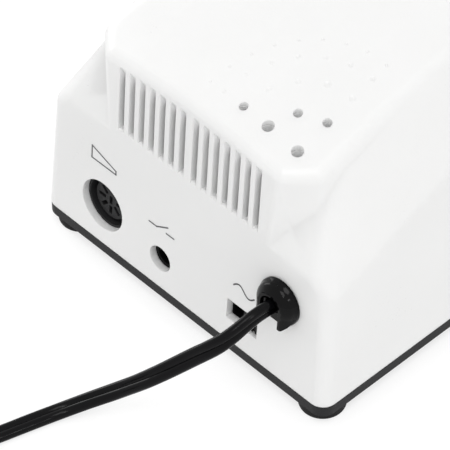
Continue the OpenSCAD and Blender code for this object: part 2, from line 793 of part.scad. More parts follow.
// Rocker switches: flanged bodies, rockers on stub pins and their terminals
module switch_at(u) {
    color("black") at_front(u, rocker_v) difference() {
        union() {
            box([-rock_flange[0] / 2, rock_flange[0] / 2], [-rock_flange[1] / 2, rock_flange[1] / 2],
                [panel_top, panel_top + rock_proud]);
            box([-rock_body[0] / 2, rock_body[0] / 2], [-rock_body[1] / 2, rock_body[1] / 2],
                [-14, panel_top + rock_proud]);
        }
        box([-rock_hole[0] / 2, rock_hole[0] / 2], [-rock_hole[1] / 2, rock_hole[1] / 2], [-8, 9]);
        translate([0, 0, pivot_z]) rotate([0, 90, 0])
            cylinder(h = rock_hole[0] + 1.6, r = pivot_r + 0.06, center = true);
    }
}
module rocker_at(u) {
    color("black") at_front(u, rocker_v) translate([0, 0, pivot_z]) rotate([-rocker_tilt, 0, 0]) {
        translate([-rock_wide / 2, 0, 0]) rotate([90, 0, 90]) linear_extrude(height = rock_wide)
            polygon([
                [-8.2, 4.2], [-4, 2.9], [0, 2.4], [4, 2.9], [8.2, 4.2],
                [7.9, 0.5], [4, -4.5], [-4, -4.5], [-7.9, 0.5]
            ]);
        rotate([0, 90, 0]) cylinder(h = rock_hole[0] + 1.2, r = pivot_r, center = true);
    }
}
module power_switch() {
    switch_at(rockers[0]);
}
module power_rocker() {
    rocker_at(rockers[0]);
}
module mode_switch() {
    switch_at(rockers[1]);
}
module mode_rocker() {
    rocker_at(rockers[1]);
}
module direction_switch() {
    switch_at(rockers[2]);
}
module direction_rocker() {
    rocker_at(rockers[2]);
}
module switch_terminals() {
    color("gold") for (u = rockers, k = [-1:1]) at_front(u, rocker_v)
        translate([0, k * tag_pitch, 0]) box(tag_x, tag_y, tag_z);
}

// Speed control: potentiometer, nut, shaft and knob
module speed_pot() {
    color("silver") at_front(0, knob_v) difference() {
        union() {
            rod_z(-pot_deep, -panel_seat, pot_r);
            rod_z(-5, knob_low + knob_cup - 1.2, bush_r);
            box(lug_x, lug_y, lug_z);
        }
        rod_z(-6, knob_low + knob_h, shaft_r + 0.05);
    }
}
module pot_nut() {
    color("silver") at_front(0, knob_v) difference() {
        translate([0, 0, panel_top]) cylinder(h = 2.2, r = 6.2, $fn = 6);
        rod_z(-1, 9, bush_r + 0.05);
    }
}
module pot_shaft() {
    color("silver") at_front(0, knob_v) rod_z(-5.5, knob_low + knob_h - 2, shaft_r);
}
module speed_knob() {
    r = knob_d / 2;
    color("dimgray") at_front(0, knob_v) difference() {
        translate([0, 0, knob_low]) rotate_extrude(convexity = 4)
            polygon([[0, 0], [r, 0], [r, 3], [r - 1.6, knob_h - 1.4], [r - 3, knob_h], [0, knob_h]]);
        rod_z(knob_low - 1, knob_low + knob_cup, 8);
        rod_z(knob_low, knob_low + knob_h - 1.9, shaft_r + 0.03);
        for (k = [0:19]) rotate(k * 18 + 9) translate([r + 0.6, 0, 0])
            rod_z(knob_low + 3.4, knob_low + knob_h + 1, 1.5);
        translate([0, r - 8.5, knob_low + knob_h]) cube([1.8, 9, 1.2], center = true);
    }
}
module knob_pointer() {
    color("white") at_front(0, knob_v)
        translate([0, knob_d / 2 - 8.5, knob_low + knob_h - 0.2]) cube([1.8, 9, 0.8], center = true);
}

// Power indicator
module led_holder() {
    color("black") at_front(-rocker_u, side_v) difference() {
        union() {
            rod_z(panel_top, panel_top + 1.4, 4.6);
            rod_z(-6, panel_top + 0.1, 3.4);
        }
        rod_z(-7, 9, 2.6);
    }
}
module led_lens() {
    color("limegreen") at_front(-rocker_u, side_v) {
        rod_z(-7, panel_top + 1.6, 2.55);
        translate([0, 0, panel_top + 1.6]) rotate_extrude() intersection() {
            circle(2.55);
            square(3);
        }
        translate([0, 0, -8]) cylinder(h = 1, r = 3.2);
    }
}

// Handpiece socket
module handpiece_socket() {
    color("dimgray") at_front(rocker_u, side_v) difference() {
        union() {
            rod_z(-hand_deep, -panel_seat, hand_r);
            rod_z(-2, panel_top + 5, 5);
        }
        rod_z(-11, 30, hand_bore / 2);
    }
}
module handpiece_nut() {
    color("silver") at_front(rocker_u, side_v) difference() {
        translate([0, 0, panel_top]) cylinder(h = 2.4, r = 8, $fn = 6);
        rod_z(-1, 9, 5.05);
    }
}

// Transformer: stacked core, bobbin, winding, strap and screws
module transformer_core() {
    w = core_size[0] / 2;
    color("slategray") translate([0, core_y, floor_z]) difference() {
        box([-w, w], [-core_size[1] / 2, core_size[1] / 2], [0, core_size[2]]);
        for (s = both) translate([s * (leg_w / 2 + win_w / 2), 0, core_size[2] / 2])
            cube([win_w, core_size[1] + 2, core_size[2] - 2 * win_w], center = true);
    }
}
module bobbin_tube(x, y, z) {
    box([-x, x], [-y, y], z);
}
bob_z = [win_w + 0.2, core_size[2] - win_w - 0.2];
module transformer_bobbin() {
    x = leg_w / 2 + 0.2;
    y = core_size[1] / 2 + 0.2;
    color("ivory") translate([0, core_y, floor_z]) difference() {
        union() {
            bobbin_tube(x + bob_t, y + bob_t, bob_z);
            bobbin_tube(bob_x, bob_y, [bob_z[0], bob_z[0] + bob_t]);
            bobbin_tube(bob_x, bob_y, [bob_z[1] - bob_t, bob_z[1]]);
        }
        bobbin_tube(x, y, [0, core_size[2]]);
    }
}
module transformer_winding() {
    x = leg_w / 2 + 0.2 + bob_t;
    y = core_size[1] / 2 + 0.2 + bob_t;
    color("goldenrod") translate([0, core_y, floor_z]) difference() {
        bobbin_tube(bob_x - 0.5, bob_y - 0.5, [bob_z[0] + bob_t, bob_z[1] - bob_t]);
        bobbin_tube(x, y, [0, core_size[2]]);
    }
}
module transformer_strap() {
    w = core_size[0] / 2 + 0.2;
    foot = floor_z + pad_h;
    color("silver") translate([0, core_y, 0]) difference() {
        union() {
            box([-w - strap_t, w + strap_t], strap_y, [core_top, core_top + strap_t]);
            for (s = both) {
                far = w + strap_t + strap_tab;
                box(s > 0 ? [w, w + strap_t] : [-w - strap_t, -w], strap_y, [foot, core_top + strap_t]);
                box(s > 0 ? [w, far] : [-far, -w], strap_y, [foot, foot + strap_t]);
            }
        }
        for (s = both) translate([s * strap_x(), 0, 0]) rod_z(foot - 1, foot + 3, 1.8);
    }
}
module strap_screws() {
    foot = floor_z + pad_h;
    color("silver") for (s = both) translate([s * strap_x(), core_y, 0]) difference() {
        union() {
            rod_z(foot + strap_t, foot + strap_t + 1.8, 3);
            rod_z(floor_z - 0.6, foot + strap_t + 0.1, 1.6);
        }
        box([-2, 2], [-0.3, 0.3], [foot + strap_t + 0.9, foot + 6]);
    }
}

// Circuit board and what it carries
module circuit_board() {
    color("darkgreen") difference() {
        box([-board_size[0] / 2, board_size[0] / 2],
            [board_y - board_size[1] / 2, board_y + board_size[1] / 2], [board_z, board_top]);
        for (p = stand_at) translate([p[0], p[1], 0]) rod_z(board_z - 1, board_top + 1, 1.6);
    }
}
module board_screws() {
    color("silver") for (p = stand_at) translate([p[0], p[1], 0]) difference() {
        union() {
            rod_z(board_top, board_top + 1.6, 2.6);
            rod_z(floor_z + 0.6, board_top + 0.1, 1.2);
        }
        box([-1.8, 1.8], [-0.3, 0.3], [board_top + 0.8, board_top + 3]);
    }
}
module capacitor() {
    color("midnightblue") translate([cap_at[0], cap_at[1], board_top]) difference() {
        rod_z(0, cap_h, cap_r);
        translate([0, 0, 3]) rotate_extrude() translate([cap_r + 0.4, 0]) circle(0.7);
    }
}
module rectifier() {
    color("black") translate([sink_at[0] - rect_gap, sink_at[1] + 1, board_top])
        box([-rect_w / 2, rect_w / 2], [-1.8, 1.8], [0, rect_w]);
}
module heat_sink() {
    color("silver") translate([sink_at[0], sink_at[1], board_top]) difference() {
        box([-sink_w / 2, sink_w / 2], [-3, fin_d], [0, sink_h]);
        for (k = [-3:3])
            box([k * fin_pitch - 1.2, k * fin_pitch + 1.2], [0, fin_d + 1], [-1, sink_h + 1]);
    }
}
module power_transistor() {
    color("black") translate([sink_at[0], sink_at[1] - 3, board_top]) difference() {
        union() {
            box([-5, 5], [-4.5, 0], [4, 13]);
            box([-5, 5], [-1.3, 0], [4, 19]);
            for (k = [-1:1]) box([k * 2.5 - 0.4, k * 2.5 + 0.4], [-2.9, -2.3], [0, 5]);
        }
        translate([0, 0, 16]) rod_y(-3, 1, 1.6);
    }
}
module fuse() {
    color("lightcyan") translate([fuse_at[0] - 10, fuse_at[1], board_top + 4.2])
        rotate([0, 90, 0]) cylinder(h = 20, r = 2.6);
}
module fuse_clips() {
    color("gold") for (s = both) translate([fuse_at[0] + s * 7.2, fuse_at[1], board_top]) difference() {
        box([-2.4, 2.4], [-3.4, 3.4], [0, 6]);
        translate([0, 0, 4.2]) rotate([0, 90, 0]) cylinder(h = 9, r = 2.6, center = true);
        box([-3, 3], [-2, 2], [4, 9]);
    }
}

// Mains cord: the run from the bush, the coil, its tie and the plug
module cord_lead() {
    color("black") swept(lead_pts, 10);
}
module cord_coil() {
    color("black") swept(coil_pts, 6);
}
module cord_tie() {
    a = run_dir + 90 - 360 * 0.62;
    r = [coil_r - coil_pitch * (coil_turns + 0.4) - cord_t / 2 - 0.6, coil_r + cord_t / 2 + 0.7];
    top = coil_high + cord_w / 2 + 0.5;
    color("black") translate([coil_mid[0], coil_mid[1], 0]) rotate(a) difference() {
        box([r[0] - 1, r[1] + 1], [-2, 2], [0, top + 1]);
        box(r, [-3, 3], [coil_low - cord_w / 2 - 0.2, top]);
    }
}
module plug_body() {
    w = plug_size[0] / 2;
    t = plug_size[1] / 2;
    color("black") translate([plug_back[0], plug_back[1], plug_z]) rotate(out_dir) rotate([0, 90, 0]) {
        linear_extrude(height = plug_size[2]) {
            square([2 * t - 6, 2 * w], center = true);
            square([2 * t, 2 * w - 6], center = true);
            for (sx = both, sy = both) translate([sx * (t - 3), sy * (w - 3)]) circle(3);
        }
    }
}
module plug_blades() {
    color("silver") translate([plug_back[0], plug_back[1], plug_z]) rotate(out_dir)
        for (s = both) difference() {
        box([plug_size[2], plug_size[2] + 17], [s * 6.35 - 0.75, s * 6.35 + 0.75], [-3.15, 3.15]);
        translate([plug_size[2] + 12, s * 6.35, 0]) rod_y(-2, 2, 1.6);
    }
}

housing();
base_plate();
feet();
housing_screws();
front_panel();
bit_block();
bit_tubes();
bit_block_screws();
cord_bush();
bush_wedge();
din_body();
din_shell();
din_insert();
din_contacts();
jack_body();
jack_contact();
selector_body();
selector_slider();
power_switch();
power_rocker();
mode_switch();
mode_rocker();
direction_switch();
direction_rocker();
switch_terminals();
speed_pot();
pot_nut();
pot_shaft();
speed_knob();
knob_pointer();
led_holder();
led_lens();
handpiece_socket();
handpiece_nut();
transformer_core();
transformer_bobbin();
transformer_winding();
transformer_strap();
strap_screws();
circuit_board();
board_screws();
capacitor();
rectifier();
heat_sink();
power_transistor();
fuse();
fuse_clips();
cord_lead();
cord_coil();
cord_tie();
plug_body();
plug_blades();
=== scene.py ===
"""Looks of the nail drill machine: camera, cord, shell, sockets, controls and insides."""

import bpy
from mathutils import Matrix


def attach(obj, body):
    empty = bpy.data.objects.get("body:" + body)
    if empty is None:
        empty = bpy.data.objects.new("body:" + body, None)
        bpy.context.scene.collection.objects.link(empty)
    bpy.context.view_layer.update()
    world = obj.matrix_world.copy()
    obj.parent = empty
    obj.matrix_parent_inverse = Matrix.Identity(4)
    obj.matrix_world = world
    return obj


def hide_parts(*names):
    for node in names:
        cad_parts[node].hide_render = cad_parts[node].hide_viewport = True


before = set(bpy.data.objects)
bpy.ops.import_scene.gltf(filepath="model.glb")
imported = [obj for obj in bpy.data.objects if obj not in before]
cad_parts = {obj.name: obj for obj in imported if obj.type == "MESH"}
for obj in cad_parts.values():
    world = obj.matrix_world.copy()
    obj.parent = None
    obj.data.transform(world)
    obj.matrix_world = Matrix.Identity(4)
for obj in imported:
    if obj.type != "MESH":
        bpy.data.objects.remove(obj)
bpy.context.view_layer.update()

import logging
import math
from dataclasses import dataclass, field
from enum import Enum
from typing import Iterable, Sequence

import bmesh
import bpy
from mathutils import Matrix, Vector

LOG = logging.getLogger("nail_drill_machine")
MM = 0.001
Point = tuple[float, float, float]
Flat = tuple[float, float]
Station = tuple[float, float, float, float]  # place on the cord in mm and its roll in degrees
Node = bpy.types.Node
Socket = bpy.types.NodeSocket
WHITE = (1.0, 1.0, 1.0, 1.0)


class Grain(Enum):
    """Kinds of surface structure that a finish can have."""

    MOULDED = "moulded"
    BRUSHED = "brushed"
    VINYL = "vinyl"
    LAYERED = "layered"
    BOARD = "board"
    CLEAR = "clear"


class Body(Enum):
    """Rigid bodies of the frame."""

    BOX = "box"
    POWER = "power_rocker"
    MODE = "mode_rocker"
    DIRECTION = "direction_rocker"
    KNOB = "speed_knob"
    SELECTOR = "selector_slider"


# Numbers that all finishes share, lengths in metres.
STRETCH = {Grain.BRUSHED: (1.0, 0.06, 1.0), Grain.VINYL: (1.0, 0.08, 1.0)}
EVEN = (1.0, 1.0, 1.0)
FINE_DETAIL = 3.0
BROAD_DETAIL = 4.0
BROAD_SHARE = 0.02  # scale of the broad noise as a share of the fine noise's
LAYER_SCALE = 0.31  # scale of a band texture whose bands are one grain size apart
LAYER_WAVER = 0.8
BOARD_CELLS = 260.0  # cells for each metre
COLOUR_SPAN = (0.3, 0.7)  # part of the pattern over which the colour changes
ROUGH_SPAN = (0.1, 0.45)
ROUGH_VARY = 0.07
ROUGH_LEAST = 0.03
BUMP_REACH = 0.0004
GLOW_REACH = 0.003
CLEAR_SHARE = 0.85
CLEAR_IOR = 1.47
EDGE_SAMPLES = 6
SHOULDER_FROM = (0.033, 0.036)  # distance from the middle and height where shoulders begin
SHOULDER_FADE = 0.006
# Painted light in deep slots and holes: the colour turns paler where an occlusion node finds a
# face shut in.
PAINTED_LIGHT_REACH = 0.006
PAINTED_LIGHT_SAMPLES = 8
PAINTED_LIGHT_SPAN = (0.05, 0.78)  # openness of a deep face and of an open one
MIX_FIRST, MIX_SECOND, MIX_RESULT = 6, 7, 2  # colour sockets of the mix node


class NodeKit:
    """Adds nodes to one node tree and links them."""

    def __init__(self, tree: bpy.types.NodeTree) -> None:
        """Keep the tree that the nodes go into."""
        self.tree = tree

    def feed(self, slot: Socket, item: object) -> None:
        """Link an input to a socket, or set its value.

        Args:
            slot: Input of a node.
            item: Socket or plain value.
        """
        if isinstance(item, bpy.types.NodeSocket):
            self.tree.links.new(item, slot)
        else:
            slot.default_value = item

    def add(self, kind: str, inputs: dict[str, object] | None = None, **settings: object) -> Node:
        """Add a node, set its properties and feed its inputs.

        Args:
            kind: Node type.
            inputs: Sockets or values of its inputs, by their names.
            **settings: Properties of the node.

        Returns:
            The node.
        """
        node = self.tree.nodes.new(kind)
        for key, setting in settings.items():
            setattr(node, key, setting)
        for key, item in (inputs or {}).items():
            self.feed(node.inputs[key], item)
        return node

    def math(self, operation: str, first: object, second: object = 0.0) -> Socket:
        """Add a math node.

        Args:
            operation: Name of the operation.
            first: Socket or number.
            second: Socket or number.

        Returns:
            The result's socket.
        """
        node = self.add("ShaderNodeMath", operation=operation)
        for slot, item in zip(node.inputs, (first, second)):
            self.feed(slot, item)
        return node.outputs["Value"]

    def spread(self, item: Socket, span: Flat, onto: Flat = (0.0, 1.0)) -> Socket:
        """Add a node that maps a span of values onto another.

        Args:
            item: Socket with the values.
            span: First and last value that come in.
            onto: First and last value that go out.

        Returns:
            The result's socket.
        """
        ends = dict(zip(("From Min", "From Max", "To Min", "To Max"), (*span, *onto)))
        return self.add("ShaderNodeMapRange", {"Value": item, **ends}).outputs["Result"]


@dataclass(frozen=True)
class Finish:
    """One surface finish: its colours, gloss and structure, lengths in metres."""

    name: str
    slot: str
    colour: Point
    roughness: float
    grain: Grain = Grain.MOULDED
    metallic: float = 0.0
    size: float = 0.0005  # of the grain
    depth: float = 0.08  # strength of the grain's bump
    shade: float = 0.05  # share by which the colour varies
    edge: float = 0.0  # radius of softened edges
    shoulder: float = 0.0  # the same high up on both sides of the box
    shine: float = 0.5  # level of the mirrored light
    glow: float = 0.0  # share of the light that scatters inside
    painted_recess_light: float = 0.0  # painted light: paler grey of deep slots and holes, standing in for light that comes through the thin moulding

    def material(self) -> bpy.types.Material:
        """Return the finish's node material, made once.

        Returns:
            The material, with its pattern on Object coordinates or on the cord's UV map.
        """
        found = bpy.data.materials.get(self.name)
        if found:
            return found
        mat = bpy.data.materials.new(self.name)
        mat.use_nodes = True
        FinishNodes(mat.node_tree, self).dress()
        return mat


class FinishNodes(NodeKit):
    """Builds the shader nodes of one finish."""

    def __init__(self, tree: bpy.types.NodeTree, finish: Finish) -> None:
        """Start with the coordinates of the finish's pattern.

        Args:
            tree: Node tree of the material.
            finish: The finish.
        """
        super().__init__(tree)
        self.finish = finish
        source = "UV" if finish.grain is Grain.VINYL else "Object"
        coords = self.add("ShaderNodeTexCoord").outputs[source]
        inputs = {"Vector": coords, "Scale": STRETCH.get(finish.grain, EVEN)}
        self.mapped = self.add("ShaderNodeMapping", inputs).outputs["Vector"]

    def dress(self) -> None:
        """Feed the shader with the finish's colour, gloss and relief."""
        finish = self.finish
        fine = self._noise(1.0 / finish.size, FINE_DETAIL)
        broad = self._noise(BROAD_SHARE / finish.size, BROAD_DETAIL)
        inputs = {
            "Metallic": finish.metallic,
            "Specular IOR Level": finish.shine,
            "Subsurface Weight": finish.glow,
            "Subsurface Radius": EVEN,
            "Subsurface Scale": GLOW_REACH,
            "Base Color": self._colour(self._pattern(broad)),
            "Roughness": self._gloss(fine, broad),
            "Normal": self._relief(self._pattern(fine)),
        }
        if finish.grain is Grain.CLEAR:
            inputs |= {"Transmission Weight": CLEAR_SHARE, "IOR": CLEAR_IOR}
        shader = self.tree.nodes["Principled BSDF"]
        for key, item in inputs.items():
            self.feed(shader.inputs[key], item)

    def _noise(self, scale: float, detail: float) -> Socket:
        """Add noise with a scale for each metre and some octaves, and return its socket."""
        inputs = {"Vector": self.mapped, "Scale": scale, "Detail": detail}
        return self.add("ShaderNodeTexNoise", inputs).outputs["Fac"]

    def _pattern(self, noise: Socket) -> Socket:
        """Give the finish's own structure.

        Args:
            noise: Noise used where the finish has no structure of its own.

        Returns:
            A socket with values from 0 to 1.
        """
        inputs = {"Vector": self.mapped}
        if self.finish.grain is Grain.LAYERED:
            inputs |= {"Scale": LAYER_SCALE / self.finish.size, "Distortion": LAYER_WAVER}
            return self.add("ShaderNodeTexWave", inputs, bands_direction="Z").outputs["Fac"]
        if self.finish.grain is Grain.BOARD:
            inputs["Scale"] = BOARD_CELLS
            cells = self.add("ShaderNodeTexVoronoi", inputs, feature="DISTANCE_TO_EDGE")
            return cells.outputs["Distance"]
        return noise

    def _colour(self, pattern: Socket) -> Socket:
        """Vary the base colour a little with the pattern, and paint light into deep slots and
        holes where the finish has it.

        Args:
            pattern: Socket with values from 0 to 1.

        Returns:
            A socket with the colour.
        """
        ramp = self.add("ShaderNodeValToRGB", {"Fac": pattern})
        shares = (1.0 - self.finish.shade, 1.0 + self.finish.shade)
        for end, position, share in zip(ramp.color_ramp.elements, COLOUR_SPAN, shares):
            end.position = position
            end.color = (*(min(1.0, c * share) for c in self.finish.colour), 1.0)
        colour = ramp.outputs["Color"]
        return self._paint_recess_light(colour) if self.finish.painted_recess_light > 0.0 else colour

    def _paint_recess_light(self, colour: Socket) -> Socket:
        """Paint light into the piece's own slots and holes: the colour turns paler where a face
        is shut in.

        Args:
            colour: Colour of the open faces.

        Returns:
            A socket with the blended colour.
        """
        settings = {"only_local": True, "samples": PAINTED_LIGHT_SAMPLES}
        shut = self.add("ShaderNodeAmbientOcclusion", {"Distance": PAINTED_LIGHT_REACH}, **settings)
        share = self.spread(shut.outputs["AO"], PAINTED_LIGHT_SPAN)
        blend = self.add("ShaderNodeMix", {"Factor": share}, data_type="RGBA")
        # painted light: the pale grey that deep faces take
        pale = self.finish.painted_recess_light
        self.feed(blend.inputs[MIX_FIRST], (pale, pale, pale, 1.0))
        self.feed(blend.inputs[MIX_SECOND], colour)
        return blend.outputs[MIX_RESULT]

    def _gloss(self, fine: Socket, broad: Socket) -> Socket:
        """Vary the roughness with fine and broad noise.

        Args:
            fine: Fine noise.
            broad: Broad noise.

        Returns:
            A socket with the roughness.
        """
        low = max(ROUGH_LEAST, self.finish.roughness - ROUGH_VARY)
        high = min(1.0, self.finish.roughness + ROUGH_VARY)
        return self.spread(self.math("MULTIPLY", fine, broad), ROUGH_SPAN, (low, high))

    def _relief(self, pattern: Socket) -> Socket:
        """Press the pattern into the surface, over softened edges where the finish has them.

        Args:
            pattern: Socket with values from 0 to 1.

        Returns:
            A socket with the surface's normal.
        """
        finish = self.finish
        inputs = {"Strength": finish.depth, "Distance": BUMP_REACH, "Height": pattern}
        if finish.edge > 0.0:
            radius = self._shoulder() if finish.shoulder > 0.0 else finish.edge
            soft = self.add("ShaderNodeBevel", {"Radius": radius}, samples=EDGE_SAMPLES)
            inputs["Normal"] = soft.outputs["Normal"]
        return self.add("ShaderNodeBump", inputs).outputs["Normal"]

    def _shoulder(self) -> Socket:
        """Give the radius of the softened edges, larger high up on both sides of the box.

        Returns:
            A socket with the radius in metres.
        """
        coords = self.add("ShaderNodeTexCoord").outputs["Object"]
        split = self.add("ShaderNodeSeparateXYZ", {"Vector": coords})
        places = (self.math("ABSOLUTE", split.outputs["X"]), split.outputs["Z"])
        out, up = (
            self.spread(place, (start, start + SHOULDER_FADE))
            for place, start in zip(places, SHOULDER_FROM)
        )
        both = self.math("MULTIPLY", out, up)
        return self.spread(both, (0.0, 1.0), (self.finish.edge, self.finish.shoulder))


# The shell's deep slots and wells get painted light: a paler grey where they are shut in.
SHELL = Finish(
    "shell_white_moulding", "white_shell", (0.74, 0.74, 0.736), 0.34, size=0.0006, depth=0.05,
    shade=0.012, edge=0.0004, shoulder=0.0035, glow=0.25, painted_recess_light=0.96,
)
TRIM = Finish(
    "dark_matt_trim", "dark_trim", (0.016, 0.016, 0.017), 0.5,
    size=0.0004, depth=0.16, shade=0.12, shine=0.13,
)
FOOT = Finish(
    "foot_rubber_black", "foot_rubber", (0.007, 0.007, 0.007), 0.72,
    size=0.0009, depth=0.25, shade=0.2, shine=0.2,
)
BLACK = Finish(
    "black_satin_moulding", "black_plastic", (0.004, 0.004, 0.0045), 0.42,
    size=0.0004, depth=0.1, shade=0.15, shine=0.1,
)
GLOSS = Finish(
    "bush_gloss_black", "gloss_black", (0.0012, 0.0012, 0.0014), 0.11,
    size=0.0008, depth=0.03, shade=0.15, shine=0.14,
)
GREY = Finish(
    "grey_satin_moulding", "grey_plastic", (0.021, 0.021, 0.022), 0.46,
    size=0.0004, depth=0.1, shade=0.1, shine=0.14,
)
PALE = Finish(
    "pale_moulding", "pale_plastic", (0.6, 0.59, 0.55), 0.45, size=0.0006, depth=0.08, shade=0.04,
)
STEEL = Finish(
    "plated_steel", "steel", (0.56, 0.56, 0.57), 0.3, Grain.BRUSHED, metallic=1.0,
    size=0.0002, depth=0.1, shade=0.1,
)
BRASS = Finish(
    "contact_plating", "contact_brass", (0.66, 0.48, 0.2), 0.28, Grain.BRUSHED, metallic=1.0,
    size=0.0002, shade=0.1,
)
ALLOY = Finish(
    "extruded_alloy", "bare_aluminium", (0.7, 0.7, 0.71), 0.35, Grain.BRUSHED, metallic=1.0,
    size=0.0003, shade=0.08,
)
IRON = Finish(
    "core_steel", "core_iron", (0.1, 0.1, 0.11), 0.5, Grain.BRUSHED, metallic=0.6,
    size=0.0005, depth=0.2, shade=0.3,
)
TAPE = Finish(
    "winding_tape", "winding", (0.5, 0.33, 0.06), 0.4, Grain.LAYERED,
    size=0.004, depth=0.3, shade=0.14,
)
BOARD = Finish(
    "board_mask", "board_green", (0.012, 0.13, 0.04), 0.32, Grain.BOARD,
    size=0.0008, depth=0.12, shade=0.5,
)
SLEEVE = Finish(
    "capacitor_sleeve", "sleeve_blue", (0.012, 0.02, 0.12), 0.25,
    size=0.001, depth=0.04, shade=0.1,
)
GLASS = Finish(
    "fuse_tube_glass", "fuse_glass", (0.85, 0.93, 0.92), 0.08, Grain.CLEAR,
    size=0.002, depth=0.02, shade=0.02,
)
LENS = Finish(
    "indicator_lens", "green_lens", (0.06, 0.5, 0.1), 0.12, Grain.CLEAR,
    size=0.001, depth=0.03, shade=0.1,
)
VINYL = Finish(
    "cord_vinyl", "cord_jacket", (0.0025, 0.0025, 0.003), 0.2, Grain.VINYL,
    size=0.0006, depth=0.1, shade=0.2, shine=0.12,
)
INK = Finish(
    "grey_ink", "dark_trim", (0.09, 0.09, 0.095), 0.55, size=0.0003, depth=0.1, shade=0.15,
)
PAINT = Finish(
    "white_ink", "white_shell", (0.8, 0.8, 0.79), 0.5, size=0.0003, depth=0.1, shade=0.05,
)


@dataclass(frozen=True)
class BoxSize:
    """Sizes of the box that the looks need, in mm and degrees."""

    rear_y: float = 67.631
    seam_z: float = 7.4
    rear_lean: float = 4.4
    front_tilt: float = 50.0
    lip_y: float = -133.5
    lip_h: float = 9.6
    edge_r: float = 4.5
    panel_top: float = 0.8

    def rear(self, across: float, up: float) -> Matrix:
        """Return the frame on the rear panel at a place across and up it.

        Args:
            across: Place along X, in mm.
            up: Distance up the panel from the seam, in mm.

        Returns:
            A matrix whose Y points out of the panel and whose Z runs up it.
        """
        return (
            Matrix.Translation(Vector((across, self.rear_y, self.seam_z)) * MM)
            @ Matrix.Rotation(math.radians(self.rear_lean), 4, "X")
            @ Matrix.Translation(Vector((0.0, 0.0, up)) * MM)
        )

    def front(self, across: float, up: float) -> Matrix:
        """Return the frame on the front slope at a place across and up it.

        Args:
            across: Place along X, in mm.
            up: Distance up the slope, in mm.

        Returns:
            A matrix whose Z points out of the slope and whose Y runs up it.
        """
        lip = (0.0, self.rear_y + self.lip_y, self.seam_z + self.lip_h)
        return (
            Matrix.Translation(Vector(lip) * MM)
            @ Matrix.Rotation(math.radians(self.front_tilt), 4, "X")
            @ Matrix.Translation(Vector((across, up, self.edge_r)) * MM)
        )


BOX = BoxSize()

# How a piece is made from a CAD node, in metres, degrees, a count and a weight from 1 to 100.
MERGE_REACH = 2e-6
FLAT_ANGLE = 0.4
EDGE_ANGLE = 32.0
EDGE_SEGMENTS = 2
NORMAL_WEIGHT = 60


def mesh_of(made: bmesh.types.BMesh, name: str) -> bpy.types.Mesh:
    """Turn a finished bmesh into a mesh.

    Args:
        made: The bmesh, which is freed.
        name: Name of the mesh.

    Returns:
        The mesh.
    """
    mesh = bpy.data.meshes.new(name)
    made.to_mesh(mesh)
    made.free()
    return mesh


def link(name: str, mesh: bpy.types.Mesh, finish: Finish) -> bpy.types.Object:
    """Put a mesh into the scene with a finish.

    Args:
        name: Name of the piece.
        mesh: Its mesh, placed in the shared frame.
        finish: Its finish.

    Returns:
        The new object at the origin.
    """
    obj = bpy.data.objects.new(name, mesh)
    bpy.context.scene.collection.objects.link(obj)
    mesh.materials.append(finish.material())
    return obj


def settle(
    obj: bpy.types.Object, body: Body, nodes: Sequence[str] = ()
) -> bpy.types.Object:
    """Bake the modifiers of a piece and tie it to its body.

    Args:
        obj: The piece.
        body: Body that it rides on.
        nodes: CAD nodes that it stands for.

    Returns:
        The same object as a plain mesh.
    """
    bpy.context.view_layer.update()
    if obj.modifiers:
        graph = bpy.context.evaluated_depsgraph_get()
        mesh = bpy.data.meshes.new_from_object(
            obj.evaluated_get(graph), preserve_all_data_layers=True, depsgraph=graph
        )
        obj.modifiers.clear()
        obj.data = mesh
    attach(obj, body.value)
    if nodes:
        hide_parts(*nodes)
    LOG.info("%s: %d faces, rides on %s", obj.name, len(obj.data.polygons), body.value)
    return obj


def smooth(mesh: bpy.types.Mesh, sharp: float) -> None:
    """Shade a mesh smooth apart from edges sharper than an angle.

    Args:
        mesh: The mesh.
        sharp: Angle in degrees.
    """
    mesh.shade_smooth()
    mesh.set_sharp_from_angle(angle=math.radians(sharp))


def from_node(
    node: str, finish: Finish, bevel: float, body: Body = Body.BOX, sharp: float = EDGE_ANGLE
) -> bpy.types.Object:
    """Make a finished piece from a CAD node: merged, with softened edges and even normals.

    Args:
        node: Name of the CAD node.
        finish: Finish of the piece.
        bevel: Width of the softened edges in mm, or 0 for none.
        body: Body that it rides on.
        sharp: Edges sharper than this angle in degrees are softened.

    Returns:
        The piece.
    """
    made = bmesh.new()
    made.from_mesh(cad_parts[node].data)
    bmesh.ops.remove_doubles(made, verts=made.verts, dist=MERGE_REACH)
    flat = math.radians(FLAT_ANGLE)
    bmesh.ops.dissolve_limit(made, angle_limit=flat, verts=made.verts, edges=made.edges)
    mesh = mesh_of(made, "piece_" + node)
    smooth(mesh, sharp)
    obj = link("piece_" + node, mesh, finish)
    if bevel > 0.0:
        soft = obj.modifiers.new("soft_edges", "BEVEL")
        soft.width = bevel * MM
        soft.segments = EDGE_SEGMENTS
        soft.limit_method = "ANGLE"
        soft.angle_limit = math.radians(sharp)
        soft.miter_outer = "MITER_ARC"
    even = obj.modifiers.new("even_normals", "WEIGHTED_NORMAL")
    even.keep_sharp = True
    even.weight = NORMAL_WEIGHT
    return settle(obj, body, [node])


# Node, finish, softened edge in mm and, where it moves on its own, body of a piece.
Row = tuple[str, Finish, float] | tuple[str, Finish, float, Body]


def from_rows(rows: Iterable[Row]) -> None:
    """Make a finished piece from each row's CAD node."""
    for row in rows:
        from_node(*row)


